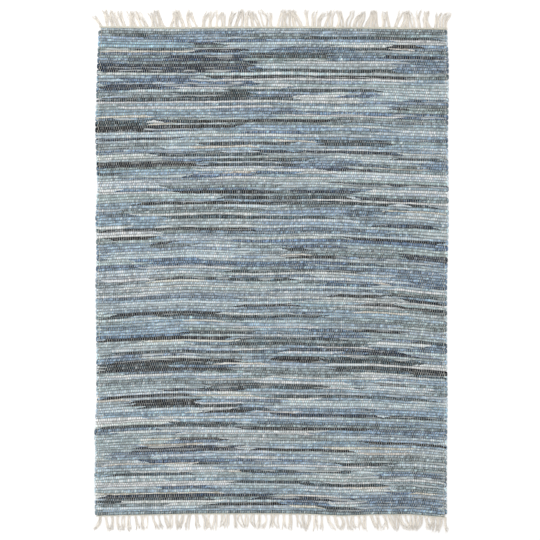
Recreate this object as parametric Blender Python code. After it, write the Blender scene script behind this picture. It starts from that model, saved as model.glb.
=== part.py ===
"""Rag rug with a knotted cotton fringe, lying flat.

The rug is plain weave: strips of worn denim are the weft, each laid from
side to side as one thick pick, and thin cotton is the warp. The picks show
as cross ribs. At each side the strips turn back in loops, two picks to a
loop. At each end the warp is caught in a narrow heading, and then hangs
loose in small tassels that lie on the floor.

The origin is on the floor under the rug's middle, +X runs along the picks,
+Y along the warp and +Z up. Sizes are in metres.
"""

import math
import random
from collections import namedtuple

import bmesh
import bpy

MM = 0.001

# Driving sizes of the cloth
CLOTH_WIDTH = 1.200
CLOTH_LENGTH = 1.651
PICK_COUNT = 177
CREST_HEIGHT = 6.5 * MM
VALLEY_HEIGHT = 5.0 * MM
SIDE_HEIGHT = 3.4 * MM
END_HEIGHT = 4.6 * MM
LOOP_DEPTH = 2.6 * MM
PICK_SEED = 41
PICK_WIDTH_SPREAD = 0.12
PICK_HEIGHT_SPREAD = 0.5 * MM

# Places of the mesh's columns, as shares of the half width
COLUMNS = (-1.0, -0.985, -0.62, -0.05, 0.39, 0.55, 0.90, 0.985, 1.0)

# Headings and tassels
CLEARANCE = 0.5 * MM
HEADING_HEIGHT = 4.3 * MM
HEADING_SIDE_HEIGHT = 3.3 * MM
HEADING_INSET = 2.0 * MM
TASSEL_ROOT_WIDTH = 8.8 * MM
TASSEL_HEIGHT = 4.2 * MM
TASSEL_TIP_HEIGHT = 3.0 * MM
TASSEL_TOP_SHARE = 0.72
TASSEL_GAP_LEAST = 1.8 * MM
TASSEL_ARCH = 1.3
REACH_SPREAD = 4.0 * MM
REACH_SEED = 17

# How far each selvedge wanders out past half the width, or in, along the rug
Selvedge = namedtuple("Selvedge", "along left right")
SELVEDGES = (
    Selvedge(along=-0.826, left=3 * MM, right=-2 * MM),
    Selvedge(along=-0.713, left=6 * MM, right=-3 * MM),
    Selvedge(along=-0.604, left=2 * MM, right=-2 * MM),
    Selvedge(along=-0.550, left=6 * MM, right=-2 * MM),
    Selvedge(along=-0.441, left=-1 * MM, right=0 * MM),
    Selvedge(along=-0.250, left=-1 * MM, right=-2 * MM),
    Selvedge(along=-0.031, left=2 * MM, right=-2 * MM),
    Selvedge(along=0.050, left=-2 * MM, right=0 * MM),
    Selvedge(along=0.187, left=2 * MM, right=4 * MM),
    Selvedge(along=0.296, left=-4 * MM, right=3 * MM),
    Selvedge(along=0.378, left=-1 * MM, right=2 * MM),
    Selvedge(along=0.487, left=3 * MM, right=1 * MM),
    Selvedge(along=0.596, left=0 * MM, right=4 * MM),
    Selvedge(along=0.705, left=-4 * MM, right=4 * MM),
    Selvedge(along=0.826, left=-9 * MM, right=-2 * MM),
)

# How far the picks bow away from straight, by their place across and along the rug
Droop = namedtuple("Droop", "across near low middle high far")
DROOPS = (
    Droop(across=-0.600, near=-8 * MM, low=-10 * MM, middle=-9 * MM, high=-8 * MM, far=2 * MM),
    Droop(across=-0.480, near=-5 * MM, low=-4 * MM, middle=-2 * MM, high=-5 * MM, far=0 * MM),
    Droop(across=-0.300, near=-1 * MM, low=2 * MM, middle=5 * MM, high=-2 * MM, far=-2 * MM),
    Droop(across=-0.120, near=0 * MM, low=1 * MM, middle=1 * MM, high=0 * MM, far=0 * MM),
    Droop(across=0.000, near=0 * MM, low=0 * MM, middle=0 * MM, high=0 * MM, far=0 * MM),
    Droop(across=0.120, near=-1 * MM, low=-2 * MM, middle=1 * MM, high=0 * MM, far=0 * MM),
    Droop(across=0.240, near=-7 * MM, low=-4 * MM, middle=0 * MM, high=-2 * MM, far=-1 * MM),
    Droop(across=0.360, near=-3 * MM, low=-7 * MM, middle=-6 * MM, high=-5 * MM, far=-2 * MM),
    Droop(across=0.480, near=-3 * MM, low=-12 * MM, middle=-14 * MM, high=-9 * MM, far=-4 * MM),
    Droop(across=0.600, near=-14 * MM, low=-20 * MM, middle=-24 * MM, high=-14 * MM, far=-5 * MM),
)
# Where those columns of the table lie, as shares of half the cloth's length
DROOP_PLACES = {"near": -1.0, "low": -0.5, "middle": 0.0, "high": 0.5, "far": 1.0}

# One letter a tassel, from left to right: how far its tip lies beside its root
LEANS = {
    "<": -29 * MM,
    "L": -20 * MM,
    "l": -9 * MM,
    "|": 0 * MM,
    "r": 9 * MM,
    "R": 19 * MM,
    ">": 27 * MM,
}

# The tassels' drift from an even pitch, by their place along the fringe
Drift = namedtuple("Drift", "share far near")
DRIFTS = (
    Drift(share=0.00, far=0 * MM, near=0 * MM),
    Drift(share=0.12, far=-5 * MM, near=-2 * MM),
    Drift(share=0.20, far=-7 * MM, near=-3 * MM),
    Drift(share=0.35, far=10 * MM, near=10 * MM),
    Drift(share=0.50, far=12 * MM, near=17 * MM),
    Drift(share=0.62, far=14 * MM, near=27 * MM),
    Drift(share=0.80, far=8 * MM, near=33 * MM),
    Drift(share=0.93, far=11 * MM, near=18 * MM),
    Drift(share=1.00, far=0 * MM, near=0 * MM),
)

# side is +1 at the far end and -1 at the near end
Fringe = namedtuple("Fringe", "name side depth reach first last middle_width tip_width leans")
FRINGES = (
    Fringe(
        name="fringe_far",
        side=1,
        depth=5.0 * MM,
        reach=57 * MM,
        first=-0.581,
        last=0.593,
        middle_width=8.0 * MM,
        tip_width=6.0 * MM,
        leans="LlLLL|LL<llLR|LlLrrr|rRr|lLl|Rr|l<l|rR|rlRRR>rl|lRR|ll|Lr|r",
    ),
    Fringe(
        name="fringe_near",
        side=-1,
        depth=3.6 * MM,
        reach=50 * MM,
        first=-0.585,
        last=0.589,
        middle_width=9.0 * MM,
        tip_width=8.0 * MM,
        leans="lr||||r||Rrr||ll|r|l|||r||||||||rrl||Rrrr|r|RrrRrRR||lrr|l|",
    ),
)

CLOTH_COLOUR = (0.259, 0.305, 0.328, 1.0)
COTTON_COLOUR = (0.723, 0.694, 0.604, 1.0)
CLOTH_ROUGHNESS = 0.93
COTTON_ROUGHNESS = 0.90


def between(table, key, column, place):
    """Read a column of a table at a place between its rows."""
    if place <= getattr(table[0], key):
        return getattr(table[0], column)
    for low, high in zip(table, table[1:]):
        start = getattr(low, key)
        stop = getattr(high, key)
        if place <= stop:
            share = (place - start) / (stop - start)
            first = getattr(low, column)
            return first + share * (getattr(high, column) - first)
    return getattr(table[-1], column)


def pick_lines():
    """Give the picks' edges along the rug, and the height of each crest."""
    draw = random.Random(PICK_SEED)
    widths = []
    crests = []
    for _ in range(PICK_COUNT):
        widths.append(1.0 + draw.uniform(-PICK_WIDTH_SPREAD, PICK_WIDTH_SPREAD))
        crests.append(CREST_HEIGHT + draw.uniform(-PICK_HEIGHT_SPREAD, PICK_HEIGHT_SPREAD))
    scale = CLOTH_LENGTH / sum(widths)
    edges = [-CLOTH_LENGTH / 2]
    for width in widths:
        edges.append(edges[-1] + width * scale)
    return edges, crests


def droop(across, along):
    """Give how far a pick bows at one place, eased between the table's columns."""
    place = 2 * along / CLOTH_LENGTH
    stops = list(DROOP_PLACES.items())
    for (low, start), (high, stop) in zip(stops, stops[1:]):
        if place <= stop or high == "far":
            share = min(max((place - start) / (stop - start), 0.0), 1.0)
            eased = (1 - math.cos(math.pi * share)) / 2
            first = between(DROOPS, "across", low, across)
            last = between(DROOPS, "across", high, across)
            return first + eased * (last - first)


def loop_bulge(row, side):
    """Give how far the turned strip bulges out: two picks share one loop."""
    phase = row % 4 if side < 0 else (row + 2) % 4
    return LOOP_DEPTH * (0.0, 0.75, 1.0, 0.75)[phase]


def cloth_place(column, row, along):
    """Give a vertex's X and Y on the cloth, from its column and its row."""
    left = -CLOTH_WIDTH / 2 - between(SELVEDGES, "along", "left", along)
    right = CLOTH_WIDTH / 2 + between(SELVEDGES, "along", "right", along)
    share = (COLUMNS[column] + 1) / 2
    across = left + share * (right - left)
    if column == 0:
        across += LOOP_DEPTH - loop_bulge(row, -1)
    elif column == len(COLUMNS) - 1:
        across -= LOOP_DEPTH - loop_bulge(row, 1)
    return across, along + droop(across, along)


def end_line(side):
    """Give the corner points of the cloth's end, from left to right."""
    row = 2 * PICK_COUNT if side > 0 else 0
    along = side * CLOTH_LENGTH / 2
    return [cloth_place(column, row, along) for column in range(len(COLUMNS))]


def end_at(line, across):
    """Give the Y of the cloth's end at one place across the rug."""
    for (x_low, y_low), (x_high, y_high) in zip(line, line[1:]):
        if across <= x_high:
            return y_low + (across - x_low) / (x_high - x_low) * (y_high - y_low)
    return line[-1][1]


def make_material(name, colour, roughness):
    """Make one plain material."""
    material = bpy.data.materials.new(name)
    material.use_nodes = True
    shader = material.node_tree.nodes["Principled BSDF"]
    shader.inputs["Base Color"].default_value = colour
    shader.inputs["Roughness"].default_value = roughness
    shader.inputs["Metallic"].default_value = 0.0
    return material


def add_object(name, bm, material, collection):
    """Turn a finished bmesh into a named object."""
    bmesh.ops.recalc_face_normals(bm, faces=bm.faces)
    mesh = bpy.data.meshes.new(name)
    bm.to_mesh(mesh)
    bm.free()
    mesh.materials.append(material)
    collection.objects.link(bpy.data.objects.new(name, mesh))


def grid_places(bm, columns, rows):
    """Give each vertex of a new grid, with its column and row numbers."""
    places = {}
    for vert in bm.verts:
        column = round((vert.co.x + 1) / 2 * (columns - 1))
        row = round((vert.co.y + 1) / 2 * (rows - 1))
        places[vert] = (column, row)
    return places


def build_cloth(material, collection):
    """Make the woven cloth: a ribbed top, upright edges and a flat underside."""
    edges, crests = pick_lines()
    columns = len(COLUMNS)
    rows = 2 * PICK_COUNT + 1
    bm = bmesh.new()
    bmesh.ops.create_grid(bm, x_segments=columns - 1, y_segments=rows - 1, size=1.0)
    for vert, (column, row) in grid_places(bm, columns, rows).items():
        pick = row // 2
        if row % 2:
            along = (edges[pick] + edges[pick + 1]) / 2
            height = crests[pick]
        else:
            along = edges[pick]
            height = VALLEY_HEIGHT
        if row in (0, rows - 1):
            height = END_HEIGHT
        if column in (0, columns - 1):
            height = SIDE_HEIGHT
        vert.co = (*cloth_place(column, row, along), height)
    rim = [edge for edge in bm.edges if edge.is_boundary]
    wall = bmesh.ops.extrude_edge_only(bm, edges=rim)["geom"]
    for item in wall:
        if isinstance(item, bmesh.types.BMVert):
            item.co.z = 0.0
    foot = [edge for edge in bm.edges if edge.is_boundary]
    bmesh.ops.holes_fill(bm, edges=foot, sides=len(foot))
    add_object("rag_cloth", bm, material, collection)


class Tassel:
    """One lock of the fringe: where it starts, how far it leans and reaches."""

    def __init__(self, root, lean, reach):
        self.root = root
        self.lean = lean
        self.reach = reach

    def across(self, out):
        """Give the middle of the lock at a distance out from the cloth."""
        return self.root + self.lean * min(out / self.reach, 1.0) ** TASSEL_ARCH


def plan_tassels(fringe):
    """Work out one end's tassels, with their tips parted from each other."""
    draw = random.Random(REACH_SEED + fringe.side)
    count = len(fringe.leans)
    tassels = []
    for number, letter in enumerate(fringe.leans):
        share = number / (count - 1)
        column = "far" if fringe.side > 0 else "near"
        root = fringe.first + share * (fringe.last - fringe.first)
        root += between(DRIFTS, "share", column, share)
        reach = fringe.reach + draw.uniform(-REACH_SPREAD, REACH_SPREAD)
        tassels.append(Tassel(root, LEANS[letter], reach))
    least = fringe.tip_width + TASSEL_GAP_LEAST
    for _ in range(80):
        for left, right in zip(tassels, tassels[1:]):
            out = min(left.reach, right.reach)
            short = least - (right.across(out) - left.across(out))
            if short > 0:
                left.lean -= short / 2
                right.lean += short / 2
    return tassels


def heading_profile(depth):
    """Give the heading's section as distance out from the cloth and height."""
    return (
        (CLEARANCE, 0.0),
        (CLEARANCE, HEADING_SIDE_HEIGHT),
        ((CLEARANCE + depth) / 2, HEADING_HEIGHT),
        (depth, HEADING_SIDE_HEIGHT),
        (depth, 0.0),
    )


def pull_tassel(bm, face, tassel, fringe, line):
    """Extrude one outer face of the heading into a lock that lies on the floor."""
    steps = (
        (0.30, fringe.middle_width, TASSEL_HEIGHT),
        (0.65, fringe.middle_width, TASSEL_HEIGHT),
        (1.00, fringe.tip_width, TASSEL_TIP_HEIGHT),
    )
    for share, width, height in steps:
        face = bmesh.ops.extrude_discrete_faces(bm, faces=[face])["faces"][0]
        middle = face.calc_center_median()
        out = share * tassel.reach
        y = end_at(line, tassel.root) + fringe.side * out
        for vert in face.verts:
            hand = 1 if vert.co.x > middle.x else -1
            top = vert.co.z > middle.z
            half = width / 2 * (TASSEL_TOP_SHARE if top else 1.0)
            vert.co = (tassel.across(out) + hand * half, y, height if top else 0.0)


def build_fringe(fringe, material, collection):
    """Make one heading strip with its tassels fused to its outer side."""
    line = end_line(fringe.side)
    tassels = plan_tassels(fringe)
    stations = [line[0][0] + HEADING_INSET]
    for tassel in tassels:
        stations.append(tassel.root - TASSEL_ROOT_WIDTH / 2)
        stations.append(tassel.root + TASSEL_ROOT_WIDTH / 2)
    stations.append(line[-1][0] - HEADING_INSET)
    profile = heading_profile(fringe.depth)
    bm = bmesh.new()
    bmesh.ops.create_grid(
        bm, x_segments=len(stations) - 1, y_segments=len(profile) - 1, size=1.0
    )
    places = grid_places(bm, len(stations), len(profile))
    outer = {}
    for face in bm.faces:
        corners = [places[vert] for vert in face.verts]
        if min(row for _, row in corners) == len(profile) - 2:
            outer[min(column for column, _ in corners)] = face
    for vert, (column, row) in places.items():
        out, height = profile[row]
        x = stations[column]
        vert.co = (x, end_at(line, x) + fringe.side * out, height)
    sole = []
    for edge in bm.edges:
        rows = {places[vert][1] for vert in edge.verts}
        if rows in ({0}, {len(profile) - 1}):
            sole.append(edge)
    bmesh.ops.bridge_loops(bm, edges=sole)
    ends = [edge for edge in bm.edges if edge.is_boundary]
    bmesh.ops.holes_fill(bm, edges=ends, sides=len(profile))
    for number, tassel in enumerate(tassels):
        pull_tassel(bm, outer[2 * number + 1], tassel, fringe, line)
    add_object(fringe.name, bm, material, collection)


def main():
    """Clear the scene and build the rug's three pieces."""
    for item in list(bpy.data.objects):
        bpy.data.objects.remove(item, do_unlink=True)
    collection = bpy.data.collections.new("rag_rug")
    bpy.context.scene.collection.children.link(collection)
    denim = make_material("denim_strips", CLOTH_COLOUR, CLOTH_ROUGHNESS)
    cotton = make_material("cotton_warp", COTTON_COLOUR, COTTON_ROUGHNESS)
    build_cloth(denim, collection)
    for fringe in FRINGES:
        build_fringe(fringe, cotton, collection)


main()
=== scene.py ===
"""The looks of a flat rag rug: worn denim strips woven on a thin cotton warp.

The rug is made here as a weaver makes it. One long weft of joined rags runs
to and fro through 316 warp ends, over one and under the next, and turns back
at each selvedge. The warp is closed at each end by a twined cotton heading,
and its own ends hang on as tassels. Sizes are in metres, and the frame is
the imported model's: +X along the picks, +Y along the warp, the floor at zero.
"""

import logging
import math
import random
from collections.abc import Sequence
from dataclasses import dataclass, field
from enum import Enum
from typing import NamedTuple

import bpy
import numpy as np
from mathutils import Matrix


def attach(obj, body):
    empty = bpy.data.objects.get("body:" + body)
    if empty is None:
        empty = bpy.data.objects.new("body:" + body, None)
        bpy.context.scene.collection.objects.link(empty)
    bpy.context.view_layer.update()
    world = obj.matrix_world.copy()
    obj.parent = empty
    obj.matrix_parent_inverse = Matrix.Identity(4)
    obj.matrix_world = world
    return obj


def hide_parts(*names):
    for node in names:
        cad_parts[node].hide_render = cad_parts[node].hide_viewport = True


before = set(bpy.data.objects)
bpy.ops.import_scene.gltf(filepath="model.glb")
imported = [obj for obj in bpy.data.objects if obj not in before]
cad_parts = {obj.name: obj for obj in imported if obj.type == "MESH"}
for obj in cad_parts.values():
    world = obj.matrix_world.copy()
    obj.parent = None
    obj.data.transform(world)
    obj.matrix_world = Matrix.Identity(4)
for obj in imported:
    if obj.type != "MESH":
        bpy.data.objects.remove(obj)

LOG = logging.getLogger("rag_rug")
MM = 0.001
BODY = "root"
TINY = 1e-12


class Selvedge(NamedTuple):
    """How far each selvedge wanders past half the width, at one place along."""

    along: float
    left: float
    right: float


SELVEDGES = (
    Selvedge(along=-0.826, left=3 * MM, right=-2 * MM),
    Selvedge(along=-0.713, left=6 * MM, right=-3 * MM),
    Selvedge(along=-0.604, left=2 * MM, right=-2 * MM),
    Selvedge(along=-0.550, left=6 * MM, right=-2 * MM),
    Selvedge(along=-0.441, left=-1 * MM, right=0 * MM),
    Selvedge(along=-0.250, left=-1 * MM, right=-2 * MM),
    Selvedge(along=-0.031, left=2 * MM, right=-2 * MM),
    Selvedge(along=0.050, left=-2 * MM, right=0 * MM),
    Selvedge(along=0.187, left=2 * MM, right=4 * MM),
    Selvedge(along=0.296, left=-4 * MM, right=3 * MM),
    Selvedge(along=0.378, left=-1 * MM, right=2 * MM),
    Selvedge(along=0.487, left=3 * MM, right=1 * MM),
    Selvedge(along=0.596, left=0 * MM, right=4 * MM),
    Selvedge(along=0.705, left=-4 * MM, right=4 * MM),
    Selvedge(along=0.826, left=-9 * MM, right=-2 * MM),
)


class Droop(NamedTuple):
    """How far a pick bows from straight at five places along the rug."""

    across: float
    near: float
    low: float
    middle: float
    high: float
    far: float


DROOPS = (
    Droop(across=-0.600, near=-8 * MM, low=-10 * MM, middle=-9 * MM, high=-8 * MM, far=2 * MM),
    Droop(across=-0.480, near=-5 * MM, low=-4 * MM, middle=-2 * MM, high=-5 * MM, far=0 * MM),
    Droop(across=-0.300, near=-1 * MM, low=2 * MM, middle=5 * MM, high=-2 * MM, far=-2 * MM),
    Droop(across=-0.120, near=0 * MM, low=1 * MM, middle=1 * MM, high=0 * MM, far=0 * MM),
    Droop(across=0.000, near=0 * MM, low=0 * MM, middle=0 * MM, high=0 * MM, far=0 * MM),
    Droop(across=0.120, near=-1 * MM, low=-2 * MM, middle=1 * MM, high=0 * MM, far=0 * MM),
    Droop(across=0.240, near=-7 * MM, low=-4 * MM, middle=0 * MM, high=-2 * MM, far=-1 * MM),
    Droop(across=0.360, near=-3 * MM, low=-7 * MM, middle=-6 * MM, high=-5 * MM, far=-2 * MM),
    Droop(across=0.480, near=-3 * MM, low=-12 * MM, middle=-14 * MM, high=-9 * MM, far=-4 * MM),
    Droop(across=0.600, near=-14 * MM, low=-20 * MM, middle=-24 * MM, high=-14 * MM, far=-5 * MM),
)

# Where those five places lie, as shares of half the length
DROOP_PLACES = {"near": -1.0, "low": -0.5, "middle": 0.0, "high": 0.5, "far": 1.0}


class Dye(Enum):
    """The rags' shades, as sRGB hex: washed denim and shirting, and their pale backs."""

    SOOT = "0e1720"
    INK = "172637"
    CHARCOAL = "2a3840"
    INDIGO = "4d6177"
    SLATE = "617486"
    MOSS = "718085"
    STEEL = "8ea3b3"
    ICE = "9fbccf"
    BLUE = "8fa7bb"
    SAGE = "aabac1"
    SKY = "c0d2dd"
    ASH = "d3dcdf"
    BLEACH = "e9eff2"
    ECRU = "dfdbcf"


class Rag(NamedTuple):
    """One bold strip of the rug.

    Its middle lies so many picks down from the far end, it shows so many picks
    thick, and it starts and stops at percentages of the width.
    """

    down: float
    picks: int
    start: int
    stop: int
    dye: Dye


RAGS = (
    Rag(0.5, 1, 0, 60, Dye.SAGE),
    Rag(0.6, 1, 60, 100, Dye.MOSS),
    Rag(1.6, 2, 80, 100, Dye.MOSS),
    Rag(2.5, 2, 42, 59, Dye.MOSS),
    Rag(2.6, 1, 15, 27, Dye.SLATE),
    Rag(3.3, 1, 60, 97, Dye.CHARCOAL),
    Rag(4.9, 2, 84, 99, Dye.ASH),
    Rag(5.5, 1, 27, 35, Dye.INK),
    Rag(6.0, 1, 37, 56, Dye.SKY),
    Rag(6.2, 1, 0, 24, Dye.ICE),
    Rag(6.7, 1, 9, 25, Dye.CHARCOAL),
    Rag(7.0, 1, 85, 92, Dye.SOOT),
    Rag(7.6, 1, 84, 90, Dye.ECRU),
    Rag(7.8, 1, 72, 85, Dye.CHARCOAL),
    Rag(8.0, 2, 28, 42, Dye.INK),
    Rag(8.4, 1, 2, 26, Dye.ECRU),
    Rag(9.1, 1, 30, 100, Dye.BLUE),
    Rag(10.1, 2, 43, 66, Dye.CHARCOAL),
    Rag(10.3, 2, 20, 42, Dye.INK),
    Rag(10.3, 1, 82, 100, Dye.INK),
    Rag(10.4, 2, 66, 82, Dye.SLATE),
    Rag(12.5, 1, 56, 85, Dye.ASH),
    Rag(12.7, 1, 42, 47, Dye.INK),
    Rag(13.0, 3, 86, 100, Dye.SLATE),
    Rag(13.5, 2, 54, 85, Dye.SAGE),
    Rag(13.8, 2, 46, 54, Dye.SKY),
    Rag(14.6, 3, 0, 43, Dye.INK),
    Rag(15.4, 1, 45, 84, Dye.CHARCOAL),
    Rag(16.1, 1, 70, 98, Dye.SAGE),
    Rag(16.5, 1, 0, 22, Dye.ASH),
    Rag(17.1, 1, 30, 88, Dye.SKY),
    Rag(17.3, 1, 89, 100, Dye.MOSS),
    Rag(17.8, 1, 32, 90, Dye.SOOT),
    Rag(18.8, 1, 35, 90, Dye.BLEACH),
    Rag(20.1, 1, 74, 100, Dye.STEEL),
    Rag(20.5, 2, 18, 46, Dye.INDIGO),
    Rag(20.5, 2, 56, 100, Dye.SAGE),
    Rag(21.3, 1, 52, 80, Dye.ASH),
    Rag(21.6, 2, 0, 18, Dye.INK),
    Rag(21.6, 1, 43, 52, Dye.BLEACH),
    Rag(22.2, 1, 22, 35, Dye.BLEACH),
    Rag(22.4, 1, 38, 52, Dye.SKY),
    Rag(22.9, 1, 38, 80, Dye.CHARCOAL),
    Rag(23.4, 3, 81, 100, Dye.SKY),
    Rag(24.2, 1, 0, 21, Dye.MOSS),
    Rag(24.2, 2, 21, 45, Dye.CHARCOAL),
    Rag(24.7, 1, 58, 70, Dye.BLEACH),
    Rag(25.3, 1, 0, 57, Dye.CHARCOAL),
    Rag(25.9, 1, 75, 88, Dye.SKY),
    Rag(26.5, 1, 0, 44, Dye.BLEACH),
    Rag(26.8, 1, 76, 100, Dye.SLATE),
    Rag(27.2, 1, 30, 75, Dye.SLATE),
    Rag(28.1, 1, 10, 34, Dye.STEEL),
    Rag(29.2, 1, 8, 50, Dye.ASH),
    Rag(29.2, 2, 58, 84, Dye.SKY),
    Rag(29.5, 1, 85, 89, Dye.SOOT),
    Rag(30.7, 2, 0, 34, Dye.STEEL),
    Rag(32.0, 1, 0, 15, Dye.ECRU),
    Rag(32.4, 1, 56, 86, Dye.BLEACH),
    Rag(32.6, 1, 30, 42, Dye.SKY),
    Rag(32.8, 1, 6, 19, Dye.SLATE),
    Rag(33.6, 1, 28, 67, Dye.SOOT),
    Rag(33.8, 2, 67, 100, Dye.MOSS),
    Rag(34.1, 1, 18, 24, Dye.INK),
    Rag(34.3, 1, 8, 14, Dye.CHARCOAL),
    Rag(34.6, 1, 15, 22, Dye.ECRU),
    Rag(35.3, 1, 66, 79, Dye.ASH),
    Rag(35.7, 1, 0, 41, Dye.SOOT),
    Rag(36.0, 1, 65, 85, Dye.BLUE),
    Rag(36.8, 1, 0, 15, Dye.SOOT),
    Rag(37.0, 1, 28, 45, Dye.BLUE),
    Rag(38.0, 2, 0, 27, Dye.SKY),
    Rag(38.4, 1, 28, 45, Dye.ASH),
    Rag(40.4, 1, 0, 23, Dye.INK),
    Rag(41.0, 1, 53, 61, Dye.ECRU),
    Rag(41.9, 1, 29, 56, Dye.CHARCOAL),
    Rag(42.0, 2, 63, 83, Dye.CHARCOAL),
    Rag(42.8, 1, 28, 45, Dye.ECRU),
    Rag(43.2, 2, 82, 90, Dye.BLUE),
    Rag(44.2, 1, 92, 100, Dye.SKY),
    Rag(44.4, 1, 58, 82, Dye.SKY),
    Rag(44.7, 1, 45, 56, Dye.INK),
    Rag(45.5, 1, 0, 25, Dye.INDIGO),
    Rag(45.6, 1, 58, 86, Dye.INK),
    Rag(45.7, 1, 87, 100, Dye.BLEACH),
    Rag(47.5, 1, 32, 60, Dye.CHARCOAL),
    Rag(48.2, 1, 86, 100, Dye.CHARCOAL),
    Rag(48.5, 1, 33, 52, Dye.SKY),
    Rag(49.4, 2, 0, 30, Dye.SOOT),
    Rag(49.6, 1, 31, 56, Dye.CHARCOAL),
    Rag(51.4, 1, 0, 28, Dye.MOSS),
    Rag(51.6, 1, 29, 50, Dye.ASH),
    Rag(51.8, 1, 65, 79, Dye.INK),
    Rag(51.8, 1, 80, 95, Dye.ECRU),
    Rag(52.9, 1, 45, 57, Dye.INDIGO),
    Rag(54.0, 1, 85, 100, Dye.ASH),
    Rag(55.2, 2, 67, 100, Dye.SKY),
    Rag(57.6, 1, 84, 100, Dye.INK),
    Rag(58.5, 1, 5, 44, Dye.INDIGO),
    Rag(59.2, 1, 55, 74, Dye.INK),
    Rag(59.4, 1, 22, 50, Dye.SOOT),
    Rag(59.6, 1, 0, 15, Dye.BLEACH),
    Rag(61.3, 2, 0, 28, Dye.SAGE),
    Rag(61.4, 1, 36, 72, Dye.CHARCOAL),
    Rag(62.4, 1, 74, 93, Dye.INK),
    Rag(63.0, 1, 62, 71, Dye.BLEACH),
    Rag(63.7, 1, 10, 49, Dye.SOOT),
    Rag(64.0, 1, 82, 100, Dye.BLEACH),
    Rag(65.5, 1, 88, 96, Dye.CHARCOAL),
    Rag(66.2, 2, 6, 46, Dye.MOSS),
    Rag(67.4, 1, 82, 98, Dye.ECRU),
    Rag(67.5, 1, 45, 57, Dye.SKY),
    Rag(67.8, 1, 10, 40, Dye.ASH),
    Rag(69.0, 1, 20, 66, Dye.CHARCOAL),
    Rag(69.5, 1, 66, 82, Dye.MOSS),
    Rag(70.8, 3, 0, 18, Dye.BLUE),
    Rag(70.8, 3, 18, 44, Dye.SAGE),
    Rag(72.0, 1, 80, 98, Dye.INK),
    Rag(72.2, 1, 55, 75, Dye.SKY),
    Rag(73.3, 1, 0, 45, Dye.SOOT),
    Rag(74.5, 1, 26, 92, Dye.SLATE),
    Rag(75.2, 2, 0, 18, Dye.ASH),
    Rag(76.2, 2, 19, 38, Dye.SKY),
    Rag(76.2, 1, 46, 66, Dye.ASH),
    Rag(77.2, 1, 2, 16, Dye.SOOT),
    Rag(77.8, 1, 72, 99, Dye.SOOT),
    Rag(77.9, 1, 16, 21, Dye.INK),
    Rag(78.6, 1, 3, 30, Dye.BLUE),
    Rag(79.2, 1, 54, 70, Dye.INDIGO),
    Rag(79.6, 1, 72, 98, Dye.BLUE),
    Rag(80.4, 1, 53, 60, Dye.CHARCOAL),
    Rag(81.4, 2, 62, 86, Dye.MOSS),
    Rag(82.3, 1, 53, 61, Dye.ECRU),
    Rag(82.5, 3, 2, 40, Dye.SKY),
    Rag(83.4, 1, 53, 69, Dye.SOOT),
    Rag(84.0, 1, 89, 100, Dye.INK),
    Rag(84.7, 1, 10, 30, Dye.INDIGO),
    Rag(85.7, 1, 72, 82, Dye.CHARCOAL),
    Rag(85.8, 2, 14, 60, Dye.INDIGO),
    Rag(86.8, 1, 62, 90, Dye.SKY),
    Rag(87.0, 2, 0, 13, Dye.SLATE),
    Rag(88.7, 1, 38, 75, Dye.CHARCOAL),
    Rag(89.4, 1, 0, 36, Dye.SKY),
    Rag(89.6, 1, 40, 85, Dye.ASH),
    Rag(89.6, 3, 86, 99, Dye.SLATE),
    Rag(91.1, 1, 15, 56, Dye.CHARCOAL),
    Rag(92.8, 2, 65, 80, Dye.INDIGO),
    Rag(93.6, 1, 8, 46, Dye.BLEACH),
    Rag(94.3, 1, 83, 100, Dye.INDIGO),
    Rag(94.8, 1, 47, 82, Dye.SKY),
    Rag(95.9, 1, 50, 83, Dye.SLATE),
    Rag(96.0, 1, 84, 100, Dye.ASH),
    Rag(97.6, 1, 0, 40, Dye.SLATE),
    Rag(98.1, 1, 67, 82, Dye.SOOT),
    Rag(98.2, 1, 84, 99, Dye.CHARCOAL),
    Rag(99.7, 1, 88, 100, Dye.SOOT),
    Rag(99.9, 1, 64, 87, Dye.ASH),
    Rag(100.8, 1, 42, 57, Dye.SOOT),
    Rag(100.8, 1, 88, 100, Dye.BLEACH),
    Rag(101.3, 1, 75, 87, Dye.SOOT),
    Rag(101.5, 2, 0, 40, Dye.SAGE),
    Rag(102.6, 1, 87, 100, Dye.SOOT),
    Rag(103.4, 1, 5, 34, Dye.SOOT),
    Rag(103.4, 1, 76, 89, Dye.ECRU),
    Rag(103.9, 1, 36, 47, Dye.ASH),
    Rag(105.0, 1, 0, 10, Dye.CHARCOAL),
    Rag(105.0, 1, 17, 65, Dye.CHARCOAL),
    Rag(105.2, 2, 66, 90, Dye.BLUE),
    Rag(106.6, 1, 26, 36, Dye.ECRU),
    Rag(107.2, 2, 72, 99, Dye.MOSS),
    Rag(108.8, 1, 38, 62, Dye.BLEACH),
    Rag(109.2, 1, 62, 98, Dye.SKY),
    Rag(110.6, 1, 71, 88, Dye.SOOT),
    Rag(111.0, 2, 0, 24, Dye.BLUE),
    Rag(111.6, 1, 88, 100, Dye.SKY),
    Rag(111.8, 1, 26, 40, Dye.SKY),
    Rag(112.6, 2, 78, 96, Dye.SAGE),
    Rag(112.9, 1, 41, 70, Dye.CHARCOAL),
    Rag(113.0, 1, 2, 38, Dye.SOOT),
    Rag(114.0, 1, 15, 38, Dye.ECRU),
    Rag(114.6, 1, 91, 100, Dye.CHARCOAL),
    Rag(114.8, 1, 39, 77, Dye.CHARCOAL),
    Rag(115.6, 1, 79, 94, Dye.ASH),
    Rag(115.8, 1, 65, 78, Dye.BLEACH),
    Rag(117.0, 1, 40, 48, Dye.BLEACH),
    Rag(117.0, 1, 55, 88, Dye.INK),
    Rag(118.0, 1, 3, 47, Dye.CHARCOAL),
    Rag(118.1, 1, 54, 70, Dye.SKY),
    Rag(119.2, 1, 77, 90, Dye.INK),
    Rag(119.3, 1, 72, 77, Dye.BLEACH),
    Rag(119.6, 1, 14, 30, Dye.ASH),
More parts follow.
